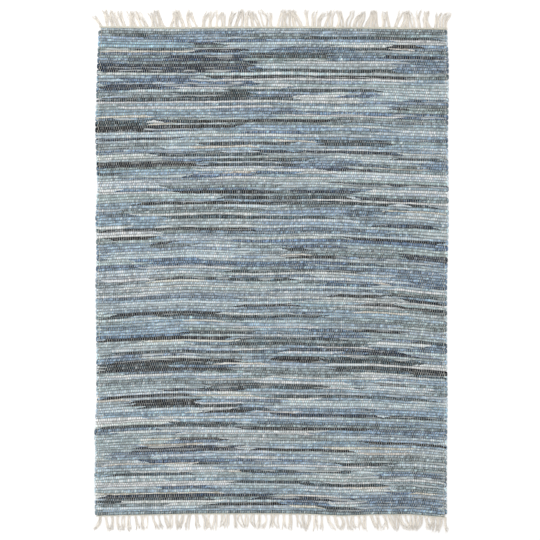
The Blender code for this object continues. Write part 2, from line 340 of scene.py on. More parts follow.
    Rag(120.2, 1, 81, 100, Dye.SAGE),
    Rag(121.0, 1, 5, 41, Dye.SOOT),
    Rag(121.5, 2, 50, 66, Dye.SOOT),
    Rag(121.5, 2, 66, 92, Dye.CHARCOAL),
    Rag(122.0, 1, 35, 49, Dye.ECRU),
    Rag(122.4, 2, 0, 22, Dye.CHARCOAL),
    Rag(122.9, 1, 78, 98, Dye.ASH),
    Rag(123.4, 1, 39, 78, Dye.SKY),
    Rag(123.9, 1, 0, 38, Dye.SOOT),
    Rag(124.6, 2, 68, 88, Dye.CHARCOAL),
    Rag(125.0, 1, 8, 30, Dye.SLATE),
    Rag(125.8, 1, 76, 90, Dye.ASH),
    Rag(126.1, 1, 2, 20, Dye.ASH),
    Rag(126.3, 1, 90, 100, Dye.SOOT),
    Rag(127.4, 1, 89, 100, Dye.CHARCOAL),
    Rag(127.8, 1, 30, 48, Dye.BLEACH),
    Rag(128.2, 1, 50, 81, Dye.BLEACH),
    Rag(128.9, 2, 0, 34, Dye.MOSS),
    Rag(129.1, 1, 52, 80, Dye.BLUE),
    Rag(129.9, 1, 81, 88, Dye.SOOT),
    Rag(130.6, 2, 32, 65, Dye.CHARCOAL),
    Rag(131.1, 1, 65, 75, Dye.BLEACH),
    Rag(132.0, 1, 18, 42, Dye.INK),
    Rag(132.0, 2, 76, 96, Dye.SKY),
    Rag(133.0, 1, 44, 75, Dye.SKY),
    Rag(133.4, 1, 3, 25, Dye.SKY),
    Rag(134.2, 1, 29, 45, Dye.ECRU),
    Rag(134.2, 1, 50, 95, Dye.CHARCOAL),
    Rag(134.4, 1, 2, 28, Dye.SOOT),
    Rag(135.5, 1, 47, 62, Dye.BLEACH),
    Rag(136.2, 1, 1, 9, Dye.ECRU),
    Rag(136.2, 2, 10, 28, Dye.SOOT),
    Rag(136.5, 1, 29, 41, Dye.BLEACH),
    Rag(137.5, 1, 12, 40, Dye.CHARCOAL),
    Rag(137.6, 3, 53, 96, Dye.SKY),
    Rag(138.3, 1, 40, 50, Dye.CHARCOAL),
    Rag(139.4, 1, 0, 30, Dye.SKY),
    Rag(140.0, 1, 30, 44, Dye.SOOT),
    Rag(140.3, 1, 45, 58, Dye.BLEACH),
    Rag(141.0, 2, 0, 25, Dye.BLUE),
    Rag(141.2, 1, 52, 82, Dye.INK),
    Rag(142.0, 1, 42, 70, Dye.SKY),
    Rag(142.2, 1, 84, 97, Dye.CHARCOAL),
    Rag(142.6, 1, 18, 41, Dye.ASH),
    Rag(143.4, 1, 0, 22, Dye.BLEACH),
    Rag(143.6, 1, 21, 40, Dye.CHARCOAL),
    Rag(144.1, 1, 45, 92, Dye.SLATE),
    Rag(144.2, 1, 93, 100, Dye.SKY),
    Rag(145.2, 1, 0, 40, Dye.CHARCOAL),
    Rag(145.8, 1, 41, 62, Dye.SOOT),
    Rag(146.6, 1, 62, 77, Dye.SOOT),
    Rag(147.1, 1, 6, 23, Dye.ASH),
    Rag(147.6, 1, 24, 62, Dye.BLEACH),
    Rag(148.2, 3, 78, 100, Dye.SLATE),
    Rag(148.5, 2, 0, 15, Dye.SAGE),
    Rag(149.7, 1, 13, 23, Dye.ECRU),
    Rag(150.1, 1, 23, 36, Dye.SOOT),
    Rag(150.6, 1, 52, 75, Dye.MOSS),
    Rag(151.6, 1, 77, 99, Dye.SOOT),
    Rag(151.8, 1, 13, 30, Dye.ECRU),
    Rag(152.2, 1, 50, 75, Dye.BLUE),
    Rag(153.0, 2, 0, 11, Dye.SAGE),
    Rag(153.2, 2, 12, 42, Dye.INK),
    Rag(153.8, 1, 45, 73, Dye.SOOT),
    Rag(154.3, 1, 75, 98, Dye.SKY),
    Rag(155.4, 1, 4, 28, Dye.SLATE),
    Rag(155.8, 1, 77, 88, Dye.ECRU),
    Rag(156.4, 2, 4, 17, Dye.STEEL),
    Rag(156.8, 1, 18, 35, Dye.BLUE),
    Rag(157.7, 1, 36, 62, Dye.INDIGO),
    Rag(157.8, 3, 74, 100, Dye.MOSS),
    Rag(158.6, 1, 29, 36, Dye.CHARCOAL),
    Rag(158.9, 1, 4, 28, Dye.ECRU),
    Rag(159.5, 1, 70, 86, Dye.CHARCOAL),
    Rag(160.0, 1, 50, 80, Dye.ASH),
    Rag(160.6, 2, 83, 100, Dye.MOSS),
    Rag(161.3, 1, 41, 74, Dye.CHARCOAL),
    Rag(161.6, 1, 12, 40, Dye.ASH),
    Rag(162.2, 2, 80, 98, Dye.SLATE),
    Rag(163.3, 1, 4, 27, Dye.CHARCOAL),
    Rag(164.0, 1, 74, 100, Dye.MOSS),
    Rag(164.8, 1, 0, 20, Dye.SKY),
    Rag(164.9, 1, 82, 99, Dye.ASH),
    Rag(165.8, 1, 67, 82, Dye.ASH),
    Rag(165.9, 1, 40, 60, Dye.CHARCOAL),
    Rag(166.3, 2, 84, 99, Dye.MOSS),
    Rag(166.5, 2, 0, 39, Dye.ASH),
    Rag(166.9, 1, 60, 83, Dye.CHARCOAL),
    Rag(167.4, 1, 0, 17, Dye.SAGE),
    Rag(168.0, 1, 17, 33, Dye.INDIGO),
    Rag(168.2, 1, 73, 83, Dye.ECRU),
    Rag(168.7, 2, 84, 98, Dye.MOSS),
    Rag(169.0, 1, 62, 76, Dye.SKY),
    Rag(169.3, 1, 0, 35, Dye.ECRU),
    Rag(169.8, 1, 90, 96, Dye.ECRU),
    Rag(170.3, 1, 55, 68, Dye.ECRU),
    Rag(170.6, 1, 1, 50, Dye.INK),
    Rag(171.4, 1, 45, 72, Dye.INK),
    Rag(171.6, 1, 2, 33, Dye.CHARCOAL),
    Rag(171.9, 2, 76, 99, Dye.SLATE),
    Rag(172.1, 1, 20, 36, Dye.BLEACH),
    Rag(173.0, 1, 0, 8, Dye.CHARCOAL),
    Rag(173.0, 2, 53, 68, Dye.INDIGO),
    Rag(173.1, 1, 69, 86, Dye.ASH),
    Rag(173.4, 1, 34, 52, Dye.SOOT),
    Rag(173.5, 1, 20, 33, Dye.ASH),
    Rag(174.6, 1, 0, 20, Dye.MOSS),
    Rag(174.7, 2, 77, 100, Dye.SLATE),
    Rag(175.3, 2, 64, 76, Dye.CHARCOAL),
    Rag(175.5, 1, 0, 60, Dye.ICE),
    Rag(175.5, 1, 56, 65, Dye.ECRU),
    Rag(176.5, 1, 0, 100, Dye.MOSS),
)

# The shades of the chance rags that fill the rest, and how many of each are in the bag
RAG_BAG = {
    Dye.CHARCOAL: 2,
    Dye.INDIGO: 6,
    Dye.SLATE: 15,
    Dye.MOSS: 16,
    Dye.STEEL: 24,
    Dye.BLUE: 8,
    Dye.SAGE: 20,
    Dye.SKY: 10,
    Dye.ASH: 5,
    Dye.ECRU: 1,
}


class Mood(NamedTuple):
    """How much paler than their average the chance rags run, at one place down the rug."""

    down: float
    paler: float


MOODS = (
    Mood(down=9, paler=-0.9),
    Mood(down=27, paler=-0.2),
    Mood(down=45, paler=0.2),
    Mood(down=62, paler=0.6),
    Mood(down=80, paler=0.3),
    Mood(down=97, paler=0.2),
    Mood(down=115, paler=-0.3),
    Mood(down=132, paler=0.3),
    Mood(down=150, paler=0.8),
    Mood(down=168, paler=1.2),
)


class Drift(NamedTuple):
    """The tassels' drift from an even pitch, at one place along the fringe."""

    share: float
    far: float
    near: float


DRIFTS = (
    Drift(share=0.00, far=0 * MM, near=0 * MM),
    Drift(share=0.12, far=-5 * MM, near=-2 * MM),
    Drift(share=0.20, far=-7 * MM, near=-3 * MM),
    Drift(share=0.35, far=10 * MM, near=10 * MM),
    Drift(share=0.50, far=12 * MM, near=17 * MM),
    Drift(share=0.62, far=14 * MM, near=27 * MM),
    Drift(share=0.80, far=8 * MM, near=33 * MM),
    Drift(share=0.93, far=11 * MM, near=18 * MM),
    Drift(share=1.00, far=0 * MM, near=0 * MM),
)

# One letter a tassel: how far its tip lies beside its root. A short one also ends early
SHORT = "s"
LEANS = {
    SHORT: -22 * MM,
    "<": -29 * MM,
    "L": -20 * MM,
    "l": -9 * MM,
    "|": 0 * MM,
    "r": 9 * MM,
    "R": 19 * MM,
    ">": 27 * MM,
}


class Wave(NamedTuple):
    """One wave of the cloth's wobble: radians a metre each way, and where it starts."""

    across: float
    along: float
    start: float


WAVES = (
    Wave(across=14.6, along=20.3, start=0.0),
    Wave(across=-3.3, along=27.3, start=1.9),
)


class Wander(NamedTuple):
    """One part of the picks' uneven bounds: free values across the rug, and how far."""

    knots: int
    size: float


WANDERS = (
    Wander(knots=17, size=1.2 * MM),
    Wander(knots=60, size=0.7 * MM),
    Wander(knots=150, size=0.35 * MM),
)


class Turn(NamedTuple):
    """One ring of a selvedge loop: degrees round the loop, and where the rag faces there."""

    angle: float
    facing: float


TURNS = (
    Turn(angle=20, facing=5),
    Turn(angle=58, facing=38),
    Turn(angle=90, facing=90),
    Turn(angle=122, facing=142),
    Turn(angle=160, facing=175),
)


class Length(NamedTuple):
    """One usual length of the chance rags, as a share of the width, and how often it comes."""

    share: float
    chance: float


LENGTHS = (
    Length(share=0.08, chance=0.20),
    Length(share=0.16, chance=0.38),
    Length(share=0.28, chance=0.30),
    Length(share=0.50, chance=0.12),
)


class Edge(NamedTuple):
    """One way that a rag's edge is turned up: how often, and its least and greatest width."""

    chance: float
    least: float
    most: float


EDGES = (
    Edge(chance=0.20, least=0.0, most=0.0),
    Edge(chance=0.55, least=0.10, most=0.26),
    Edge(chance=0.25, least=0.4, most=1.1),
)


class End(Enum):
    """The two ends of the rug, by the sign of their place along Y."""

    FAR = 1
    NEAR = -1


def column(table: Sequence[NamedTuple], name: str) -> np.ndarray:
    """Read one named column of a table.

    Args:
        table: rows of one NamedTuple type.
        name: the column's name.

    Returns:
        The column's values, in the rows' order.
    """
    return np.array([getattr(row, name) for row in table])


def linear(code: str) -> np.ndarray:
    """Turn an sRGB colour into linear light.

    Args:
        code: the colour's six hex digits.

    Returns:
        Linear red, green and blue.
    """
    parts = np.array([int(code[i : i + 2], 16) / 255 for i in (0, 2, 4)])
    return np.where(parts <= 0.04045, parts / 12.92, ((parts + 0.055) / 1.055) ** 2.4)


def eased(share: np.ndarray) -> np.ndarray:
    """Bend a share from 0 to 1 so that it starts and stops level."""
    return (1 - np.cos(np.pi * share)) / 2


def drift_noise(draw: np.random.Generator, shape: tuple[int, int], knots: int) -> np.ndarray:
    """Draw rows of smooth noise between -1 and 1.

    Args:
        draw: the seeded source.
        shape: the number of rows, and of values in each.
        knots: how many free values each row is drawn through.

    Returns:
        An array of that shape.
    """
    rows, count = shape
    places = np.linspace(0, knots - 1, count)
    low = np.minimum(places.astype(int), knots - 2)
    share = eased(places - low)
    values = draw.uniform(-1, 1, (rows, knots))
    return values[:, low] * (1 - share) + values[:, low + 1] * share


def drift_line(draw: np.random.Generator, count: int, knots: int) -> np.ndarray:
    """Draw one row of smooth noise between -1 and 1.

    Args:
        draw: the seeded source.
        count: how many values it has.
        knots: how many free values it is drawn through.

    Returns:
        The row's values.
    """
    return drift_noise(draw, (1, count), knots)[0]


@dataclass
class Lay:
    """How the woven cloth lies: its selvedges, its bowed picks and their crests."""

    width: float = 1.200
    length: float = 1.651
    pick_count: int = 177
    crest_height: float = 6.5 * MM
    width_spread: float = 0.12
    height_spread: float = 0.5 * MM
    pick_seed: int = 41
    wobble: float = 1.6 * MM
    wobble_fade: int = 6
    edges: np.ndarray = field(init=False)
    crests: np.ndarray = field(init=False)

    def __post_init__(self) -> None:
        """Draw the picks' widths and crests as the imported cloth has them."""
        draw = random.Random(self.pick_seed)
        widths = []
        crests = []
        for _ in range(self.pick_count):
            widths.append(1.0 + draw.uniform(-self.width_spread, self.width_spread))
            crests.append(self.crest_height + draw.uniform(-self.height_spread, self.height_spread))
        scale = self.length / sum(widths)
        self.edges = np.concatenate([[0.0], np.cumsum(widths) * scale]) - self.length / 2
        self.crests = np.array(crests)

    def droop(self, across: np.ndarray, along: np.ndarray) -> np.ndarray:
        """Give how far the picks bow at places on the cloth.

        Args:
            across: distances from the middle along X.
            along: distances from the middle along Y, before the bow.

        Returns:
            The shift along Y at each place.
        """
        stops = np.array(list(DROOP_PLACES.values()))
        keys = column(DROOPS, "across")
        values = np.stack([np.interp(across, keys, column(DROOPS, name)) for name in DROOP_PLACES])
        place = np.clip(2 * along / self.length, -1, 1)
        low = np.clip(np.searchsorted(stops, place, side="right") - 1, 0, len(stops) - 2)
        share = eased((place - stops[low]) / (stops[low + 1] - stops[low]))
        first = np.take_along_axis(values, low[None], 0)[0]
        last = np.take_along_axis(values, low[None] + 1, 0)[0]
        return first + share * (last - first)

    def place(self, share: np.ndarray, along: np.ndarray) -> tuple[np.ndarray, np.ndarray]:
        """Give X and Y of places on the cloth.

        Args:
            share: places across, from -1 at the left selvedge to 1 at the right.
            along: places along, in metres, before the bow.

        Returns:
            Arrays of X and of Y.
        """
        share, along = np.broadcast_arrays(np.asarray(share, float), np.asarray(along, float))
        keys = column(SELVEDGES, "along")
        left = -self.width / 2 - np.interp(along, keys, column(SELVEDGES, "left"))
        right = self.width / 2 + np.interp(along, keys, column(SELVEDGES, "right"))
        across = left + (share + 1) / 2 * (right - left)
        fade = 1 - np.abs(2 * along / self.length) ** self.wobble_fade
        slow, fast = [np.sin(across * wave.across + along * wave.along + wave.start) for wave in WAVES]
        return across, along + self.droop(across, along) + self.wobble * fade * slow * fast

    def end_y(self, end: End, across: np.ndarray) -> np.ndarray:
        """Give the line of one of the cloth's ends.

        Args:
            end: which end.
            across: distances from the middle along X.

        Returns:
            Y at each of those places.
        """
        across = np.asarray(across, float)
        along = np.full_like(across, end.value * self.length / 2)
        return along + self.droop(across, along)


class Batch:
    """Gathers closed tubes and makes them one smooth mesh with colours and a UV map."""

    def __init__(self, name: str) -> None:
        """Start an empty batch.

        Args:
            name: the piece that it will be.
        """
        self.name = name
        self.count = 0
        self.points: list[np.ndarray] = []
        self.values: dict[str, list[np.ndarray]] = {}
        self.corners: list[np.ndarray] = []
        self.sizes: list[np.ndarray] = []
        self.uvs: list[np.ndarray] = []

    def tube(self, rings: np.ndarray, girth: float, offset: float, **values: np.ndarray) -> None:
        """Add one closed tube.

        Args:
            rings: points of shape (rings, sides, 3), turning right, top, left.
            girth: the real distance round the section, for the UV map.
            offset: where the strip's length starts, so that weaves don't repeat.
            values: named colours or other triples, that fit the rings' shape.
        """
        steps, sides, _ = rings.shape
        lengths = np.linalg.norm(np.diff(rings.mean(axis=1), axis=0), axis=1)
        along = offset + np.concatenate([[0.0], np.cumsum(lengths)])
        side = np.arange(sides)[None, :]
        after = (side + 1) % sides
        here = np.arange(steps - 1)[:, None] * sides
        there = here + sides
        quads = np.stack([here + side, there + side, there + after, here + after], axis=-1)
        self.corners.append((quads + self.count).reshape(-1))
        self.sizes.append(np.full((steps - 1) * sides, 4))
        u_low = np.broadcast_to(along[:-1, None], quads.shape[:2])
        u_high = np.broadcast_to(along[1:, None], quads.shape[:2])
        v_low = np.broadcast_to(side / sides * girth, quads.shape[:2])
        v_high = v_low + girth / sides
        u = np.stack([u_low, u_high, u_high, u_low], -1)
        v = np.stack([v_low, v_low, v_high, v_high], -1)
        self.uvs.append(np.stack([u, v], -1).reshape(-1, 2))

        # Each end is closed by one flat face, with a disc of its own on the map
        first = np.arange(sides)
        last = (steps - 1) * sides + first[::-1]
        self.corners.append(np.concatenate([first, last]) + self.count)
        self.sizes.append(np.array([sides, sides]))
        turn = 2 * np.pi * first / sides
        disc = girth / (2 * np.pi) * np.stack([np.cos(turn), np.sin(turn)], -1)
        self.uvs.append(np.concatenate([disc + [along[0], 0], disc[::-1] + [along[-1], 0]]))

        self.points.append(rings.reshape(-1, 3))
        for name, value in values.items():
            triples = np.broadcast_to(value, rings.shape).reshape(-1, 3)
            self.values.setdefault(name, []).append(triples)
        self.count += steps * sides

    def build(self, material: bpy.types.Material) -> bpy.types.Object:
        """Make the piece's object at the origin.

        Args:
            material: its finish.

        Returns:
            The new object, linked to the scene.
        """
        points = np.concatenate(self.points).astype(np.float32)
        corners = np.concatenate(self.corners).astype(np.int32)
        sizes = np.concatenate(self.sizes)
        starts = np.concatenate([[0], np.cumsum(sizes)[:-1]]).astype(np.int32)
        mesh = bpy.data.meshes.new(self.name)
        mesh.vertices.add(len(points))
        mesh.vertices.foreach_set("co", points.reshape(-1))
        mesh.loops.add(len(corners))
        mesh.loops.foreach_set("vertex_index", corners)
        mesh.polygons.add(len(sizes))
        mesh.polygons.foreach_set("loop_start", starts)
        mesh.update(calc_edges=True)
        uvs = np.concatenate(self.uvs).astype(np.float32)
        mesh.uv_layers.new(name="strip").uv.foreach_set("vector", uvs.reshape(-1))
        for name, values in self.values.items():
            triples = np.concatenate(values).astype(np.float32)
            layer = mesh.attributes.new(name, "FLOAT_VECTOR", "POINT")
            layer.data.foreach_set("vector", triples.reshape(-1))
        mesh.shade_smooth()
        mesh.materials.append(material)
        piece = bpy.data.objects.new(self.name, mesh)
        bpy.context.scene.collection.objects.link(piece)
        return piece


@dataclass
class Weft:
    """The joined rags: one band that runs to and fro between the warp ends."""

    lay: Lay
    warp_count: int = 316
    inset: float = 9.5 * MM
    thickness: float = 4.6 * MM
    floor_gap: float = 0.15 * MM
    sway: float = 1.7 * MM
    swell: float = 0.45 * MM
    swell_knots: int = 40
    end_calm: float = 0.3
    pinched_width: float = 0.91
    swollen_width: float = 1.06
    pinched_side: float = 0.64
    swollen_side: float = 0.48
    squeeze_ramp: int = 8
    loop_half_width: float = 2.6 * MM
    loop_fold: float = 0.7
    loop_gap: float = 0.6 * MM
    loop_roundness: float = 0.4
    loop_top: float = 5.4 * MM
    loop_side: float = 2.8 * MM
    loop_bottom: float = 0.2 * MM
    girth: float = 22 * MM
    seed: int = 7
    bounds_x: np.ndarray = field(init=False)
    bounds_y: np.ndarray = field(init=False)
    tops: np.ndarray = field(init=False)
    pinched: np.ndarray = field(init=False)
    path: np.ndarray = field(init=False)
    path_row: np.ndarray = field(init=False)
    path_station: np.ndarray = field(init=False)
    path_pinched: np.ndarray = field(init=False)

    def __post_init__(self) -> None:
        """Lay the picks between their uneven bounds."""
        draw = np.random.default_rng(self.seed)
        picks = self.lay.pick_count
        inset_share = 2 * self.inset / self.lay.width
        shares = np.linspace(-1 + inset_share, 1 - inset_share, self.warp_count)
        self.bounds_x, y = self.lay.place(shares[None, :], self.lay.edges[:, None])
        jitter = np.zeros((picks + 1, self.warp_count))
        for wander in WANDERS:
            jitter += drift_noise(draw, jitter.shape, wander.knots) * wander.size
        jitter[[0, -1]] *= self.end_calm
        self.bounds_y = y + jitter
        numbers = np.arange(picks)[:, None] + np.arange(self.warp_count)[None, :]
        self.pinched = numbers % 2 == 0
        swell = drift_noise(draw, (picks, self.warp_count), self.swell_knots) * self.swell
        full = self.lay.crests[:, None] + swell
        self.tops = np.where(self.pinched, full - self.sway, full)

    def misses(self, down: float, station: int) -> np.ndarray:
        """Give how far each pick lies from a place down the rug, in even picks.

        Args:
            down: the place, in even picks from the far end.
            station: the warp end at which it is measured.

        Returns:
            One distance a pick.
        """
        pitch = self.lay.length / self.lay.pick_count
        middles = (self.bounds_y[:-1, station] + self.bounds_y[1:, station]) / 2
        return np.abs(middles - (self.lay.length / 2 - down * pitch)) / pitch

    def squeeze(self, row: int, start: int, stop: int, width: float) -> None:
        """Let a pick's neighbours spread over the edges of one stretch of it.

        Args:
            row: the pick.
            start: the stretch's first station.
            stop: the station after its last.
            width: the share of its width that it keeps.
        """
        place = np.arange(start, stop)
        ramp = np.clip(np.minimum(place - start, stop - 1 - place) / self.squeeze_ramp, 0, 1)
        gap = self.bounds_y[row + 1, start:stop] - self.bounds_y[row, start:stop]
        cut = gap * (1 - width) / 2 * ramp
        if row > 0:
            self.bounds_y[row, start:stop] += cut
        if row < self.lay.pick_count - 1:
            self.bounds_y[row + 1, start:stop] -= cut

    def row_rings(self, row: int) -> np.ndarray:
        """Give one pick's rings from left to right.

        Args:
            row: the pick.

        Returns:
            Rings of four points: near side, top, far side and bottom.
        """
        x = (self.bounds_x[row] + self.bounds_x[row + 1]) / 2
        low = self.bounds_y[row]
        high = self.bounds_y[row + 1]
        middle = (low + high) / 2
        pinched = self.pinched[row]
        half = (high - low) / 2 * np.where(pinched, self.pinched_width, self.swollen_width)
        top = self.tops[row]
        bottom = top - self.thickness
        side = bottom + self.thickness * np.where(pinched, self.pinched_side, self.swollen_side)
        floor = np.maximum(bottom, self.floor_gap)
        corners = ((middle - half, side), (middle, top), (middle + half, side), (middle, floor))
        return np.stack([np.stack([x, y, z], -1) for y, z in corners], axis=1)

    def turn_rings(self, row: int, hand: int) -> np.ndarray:
        """Give the rings of the loop from one pick to the next, round a selvedge.

        Args:
            row: the pick that the loop leaves.
            hand: 1 at the right selvedge and -1 at the left one.

        Returns:
            Rings in the order of travel.
        """
        station = -1 if hand > 0 else 0
        x = self.bounds_x[row + 1, station]
        low = (self.bounds_y[row, station] + self.bounds_y[row + 1, station]) / 2
        high = (self.bounds_y[row + 1, station] + self.bounds_y[row + 2, station]) / 2
        middle = (low + high) / 2
        reach = self.inset - self.loop_half_width - self.loop_gap
        rings = []
        for step in TURNS:
            turn = math.radians(step.angle)
            face = math.radians(step.facing)
            sideways = math.sin(turn) ** self.loop_roundness
            onward = -math.copysign(abs(math.cos(turn)) ** self.loop_roundness, math.cos(turn))
            point = np.array([x + hand * reach * sideways, middle + (high - low) / 2 * onward])
            half = self.loop_half_width * (1 + self.loop_fold * math.cos(face) ** 2)
            out = np.array([hand * math.sin(face), -math.cos(face)]) * half
            right, left = (point + out, point - out) if hand > 0 else (point - out, point + out)
            corners = (
                (right, self.loop_side),
                (point, self.loop_top),
                (left, self.loop_side),
                (point, self.loop_bottom),
            )
            rings.append([[*place, height] for place, height in corners])
        return np.array(rings)

    def lead_path(self) -> None:
        """Join all picks and loops into one path, in the order of weaving."""
        rings = []
        rows = []
        stations = []
        pinched = []
        count = self.warp_count
        for row in range(self.lay.pick_count):
            pick = self.row_rings(row)
            order = np.arange(count)
            rightward = row % 2 == 1
            if not rightward:
                order = order[::-1]
                pick = pick[:, [2, 1, 0, 3]]
            rings.append(pick[order])
            rows.append(np.full(count, row))
            stations.append(order)
            pinched.append(self.pinched[row, order])
            if row < self.lay.pick_count - 1:
                rings.append(self.turn_rings(row, 1 if rightward else -1))
                half = len(TURNS) // 2 + 1
                rows.append(np.repeat([row, row + 1], [half, half - 1]))
                stations.append(np.full(len(TURNS), order[-1]))
                pinched.append(np.zeros(len(TURNS), bool))
        self.path = np.concatenate(rings)
        self.path_row = np.concatenate(rows)
        self.path_station = np.concatenate(stations)
        self.path_pinched = np.concatenate(pinched)


class Strips:
    """Chooses the rag at each place of the weft, and colours it, with painted light and shade."""

    THIN = (Dye.BLEACH, Dye.ECRU)
    BOLD = (Dye.SOOT, Dye.INK, Dye.CHARCOAL, Dye.BLEACH, Dye.ECRU, Dye.ICE)

    # A charted rag's ends may stray by so many warp ends, and a pick that others
    # already take costs it as much as so many picks of distance
    STRAY = 3
    TAKEN_COST = 1.5

    # The least share of its width that a charted rag keeps, and how much more it may keep
    THIN_WIDTH = 0.45
    FULL_WIDTH = 0.75
    WIDTH_SPREAD = 0.3

    # A chance rag's length varies by this share, is no shorter than so many warp
    # ends, and this is how often a rag is carried on round the selvedge
    LENGTH_SPREAD = 0.3
    LEAST_LENGTH = 6
    CARRIED = 0.65

    # Rags lap by so many warp ends, run out to a point by this power, and lift there
    LEAST_LAP = 3
    MOST_LAP = 5
    POINT_POWER = 0.7
    LAP_LIFT = 0.45 * MM

    # How far a rag's shade and its red, green and blue stray from its dye, and the
    # linear shade at which a rag counts as wholly pale
    SHADE_SPREAD = 0.14
    TINT_SPREAD = 0.03
    PALE_SHADE = 0.45

    # Fading in long and in short patches, with the warp ends in each, and crumples, whose random
    # brightness is partly uneven wear and partly painted light and shade of their folds
    LONG_FADING = 0.30
    LONG_PATCH = 10
    SHORT_FADING = 0.48
    SHORT_PATCH = 2
    CRUMPLE_SHADING = 0.5

    # How much fading and crumple shading tell on a dark rag and less on a pale one; how bright
    # each is where a thread pinches it, paler on a dark rag and darker with painted shade round
    # the thread on a pale one, and where it swells; and the painted light and shade of its near
    # side, lit top, far side and shaded bottom
    DARK_WEAR_AND_SHADE = 1.3
    PALE_WEAR_AND_SHADE_LESS = 0.75
    PINCH_TONE_AND_SHADE = (1.8, -1.35)
    SWOLLEN = (0.92, 0.21)
    SIDE_SHADING = (0.90, 1.10, 0.90, 0.6)

    # Painted shade in holes between folds: how often, and how bright on a dark rag and more on a pale
    # one
    FOLD_SHADE_CHANCE = 0.05
    FOLD_SHADE = (0.4, 0.3)

    # Lint: its colour, its mean, what of it is too little to show, its most, and how
    # much of it clings where a thread pinches the rag and where it swells
    LINT = "d5dce0"
    LINT_MEAN = 0.10
    LINT_FLOOR = 0.11
    LINT_MOST = 0.4
    LINT_PINCHED = 1.8
    LINT_SWOLLEN = 0.7

    # The least and greatest linear colour that cloth has
    DARKEST = 0.006
    PALEST = 0.95

    # The turned-up edge: how often it is a darker thread, its shade against the rag's, the
    # colour of a rag's back, how near the edge comes to that, and the warp ends in each bend
    DARK_EDGE = 0.36
    DARK_EDGE_SHADE = (0.3, 0.5)
    BACK = "dde4e6"
    BACK_SHARE = (0.45, 0.85)
    EDGE_PATCH = 9
    EDGE_PLACE = (0.2, 0.95)
    EDGE_SWAY = 0.35
    EDGE_WIDTH = (0.7, 0.5)
    EDGE_LEAST = 0.02
    EDGE_STRENGTH = (0.55, 1.6)
    EDGE_SHOWS = (0.5, 0.95)

    def __init__(self, weft: Weft, seed: int = 23) -> None:
        """Chart the bold rags, fill the rest from the bag and join them.

        Args:
            weft: the laid weft.
            seed: for the chance rags.
        """
        self.weft = weft
        self.draw = np.random.default_rng(seed)
        self.dyes: list[Dye] = []
        self.rag_of = np.full((weft.lay.pick_count, weft.warp_count), -1)
        self.chart()
        self.fill()
        weft.lead_path()
        self.along_path = self.rag_of[weft.path_row, weft.path_station]
        self.laps = self.draw.integers(self.LEAST_LAP, self.MOST_LAP + 1, len(weft.path))
        self.lap_sides = self.draw.integers(0, 2, len(weft.path)) * 2

    def new_rag(self, dye: Dye) -> int:
        """Count one more rag.

        Args:
            dye: its shade.

        Returns:
            Its number.
        """
        self.dyes.append(dye)
        return len(self.dyes) - 1

    def stray(self, share: float) -> int:
        """Give the warp end at a percentage of the width, a little off its place.

        Args:
            share: the percentage.

        Returns:
            The warp end's number, which may lie past the last.
        """
        exact = round(share / 100 * (self.weft.warp_count - 1))
        return exact + int(self.draw.integers(-self.STRAY, self.STRAY + 1))

    def chart(self) -> None:
        """Lay the charted rags at their places, the boldest first and the palest narrowest."""
        count = self.weft.warp_count
        for rag in sorted(RAGS, key=lambda rag: rag.dye not in self.BOLD):
            start = max(self.stray(rag.start), 0)
            stop = min(self.stray(rag.stop), count - 1) + 1
            middle = (start + stop) // 2
            taken = (self.rag_of[:, start:stop] >= 0).mean(axis=1)
            least = self.THIN_WIDTH if rag.dye in self.THIN else self.FULL_WIDTH
            for offset in np.arange(rag.picks) - (rag.picks - 1) / 2:
                misses = self.weft.misses(rag.down + offset, middle)
                row = int(np.argmin(misses + self.TAKEN_COST * taken))
                taken[row] = 1.0
                free = np.flatnonzero(self.rag_of[row, start:stop] < 0) + start
                self.rag_of[row, free] = self.new_rag(rag.dye)
                width = self.draw.uniform(least, least + self.WIDTH_SPREAD)
                self.weft.squeeze(row, start, stop, width)

    def bag_weights(self, down: float) -> np.ndarray:
        """Give how likely each shade of the bag is at a place down the rug.

        Args:
            down: the place, in picks from the far end.

        Returns:
            One chance a shade, all adding up to 1.
        """
        tones = np.array([linear(dye.value).mean() for dye in RAG_BAG])
        tones = (tones - tones.mean()) / tones.std()
        mood = np.interp(down, column(MOODS, "down"), column(MOODS, "paler"))
        weights = np.array(list(RAG_BAG.values())) * np.exp(mood * tones)
        return weights / weights.sum()

    def fill(self) -> None:
        """Fill what is free with chance rags, carried round the selvedges."""
        shades = list(RAG_BAG)
        count = self.weft.warp_count
        spread = self.LENGTH_SPREAD
        carried = -1
        for row in range(self.weft.lay.pick_count):
            weights = self.bag_weights(self.weft.lay.pick_count - row)
            step = 1 if row % 2 == 1 else -1
            place = 0 if step > 0 else count - 1
            while 0 <= place < count:
                if self.rag_of[row, place] >= 0:
                    carried = self.rag_of[row, place]
                    place += step
                    continue
                share = self.draw.choice(column(LENGTHS, "share"), p=column(LENGTHS, "chance"))
                length = int(int(count * share) * self.draw.uniform(1 - spread, 1 + spread))
                length = max(self.LEAST_LENGTH, length)
                at_turn = place in (0, count - 1)
                if not (at_turn and carried >= 0 and self.draw.random() < self.CARRIED):
                    carried = self.new_rag(shades[self.draw.choice(len(shades), p=weights)])
                while 0 <= place < count and length > 0 and self.rag_of[row, place] < 0:
                    self.rag_of[row, place] = carried
                    place += step
                    length -= 1

    def runs(self) -> list[tuple[int, int, int]]:
        """Find where each rag runs along the path.

        Returns:
            Each run's first ring, last ring and rag.
        """
        changes = np.flatnonzero(np.diff(self.along_path)) + 1
        starts = np.concatenate([[0], changes])
        stops = np.concatenate([changes, [len(self.along_path) - 1]])
        return [(int(a), int(b), int(self.along_path[a])) for a, b in zip(starts, stops) if b > a]

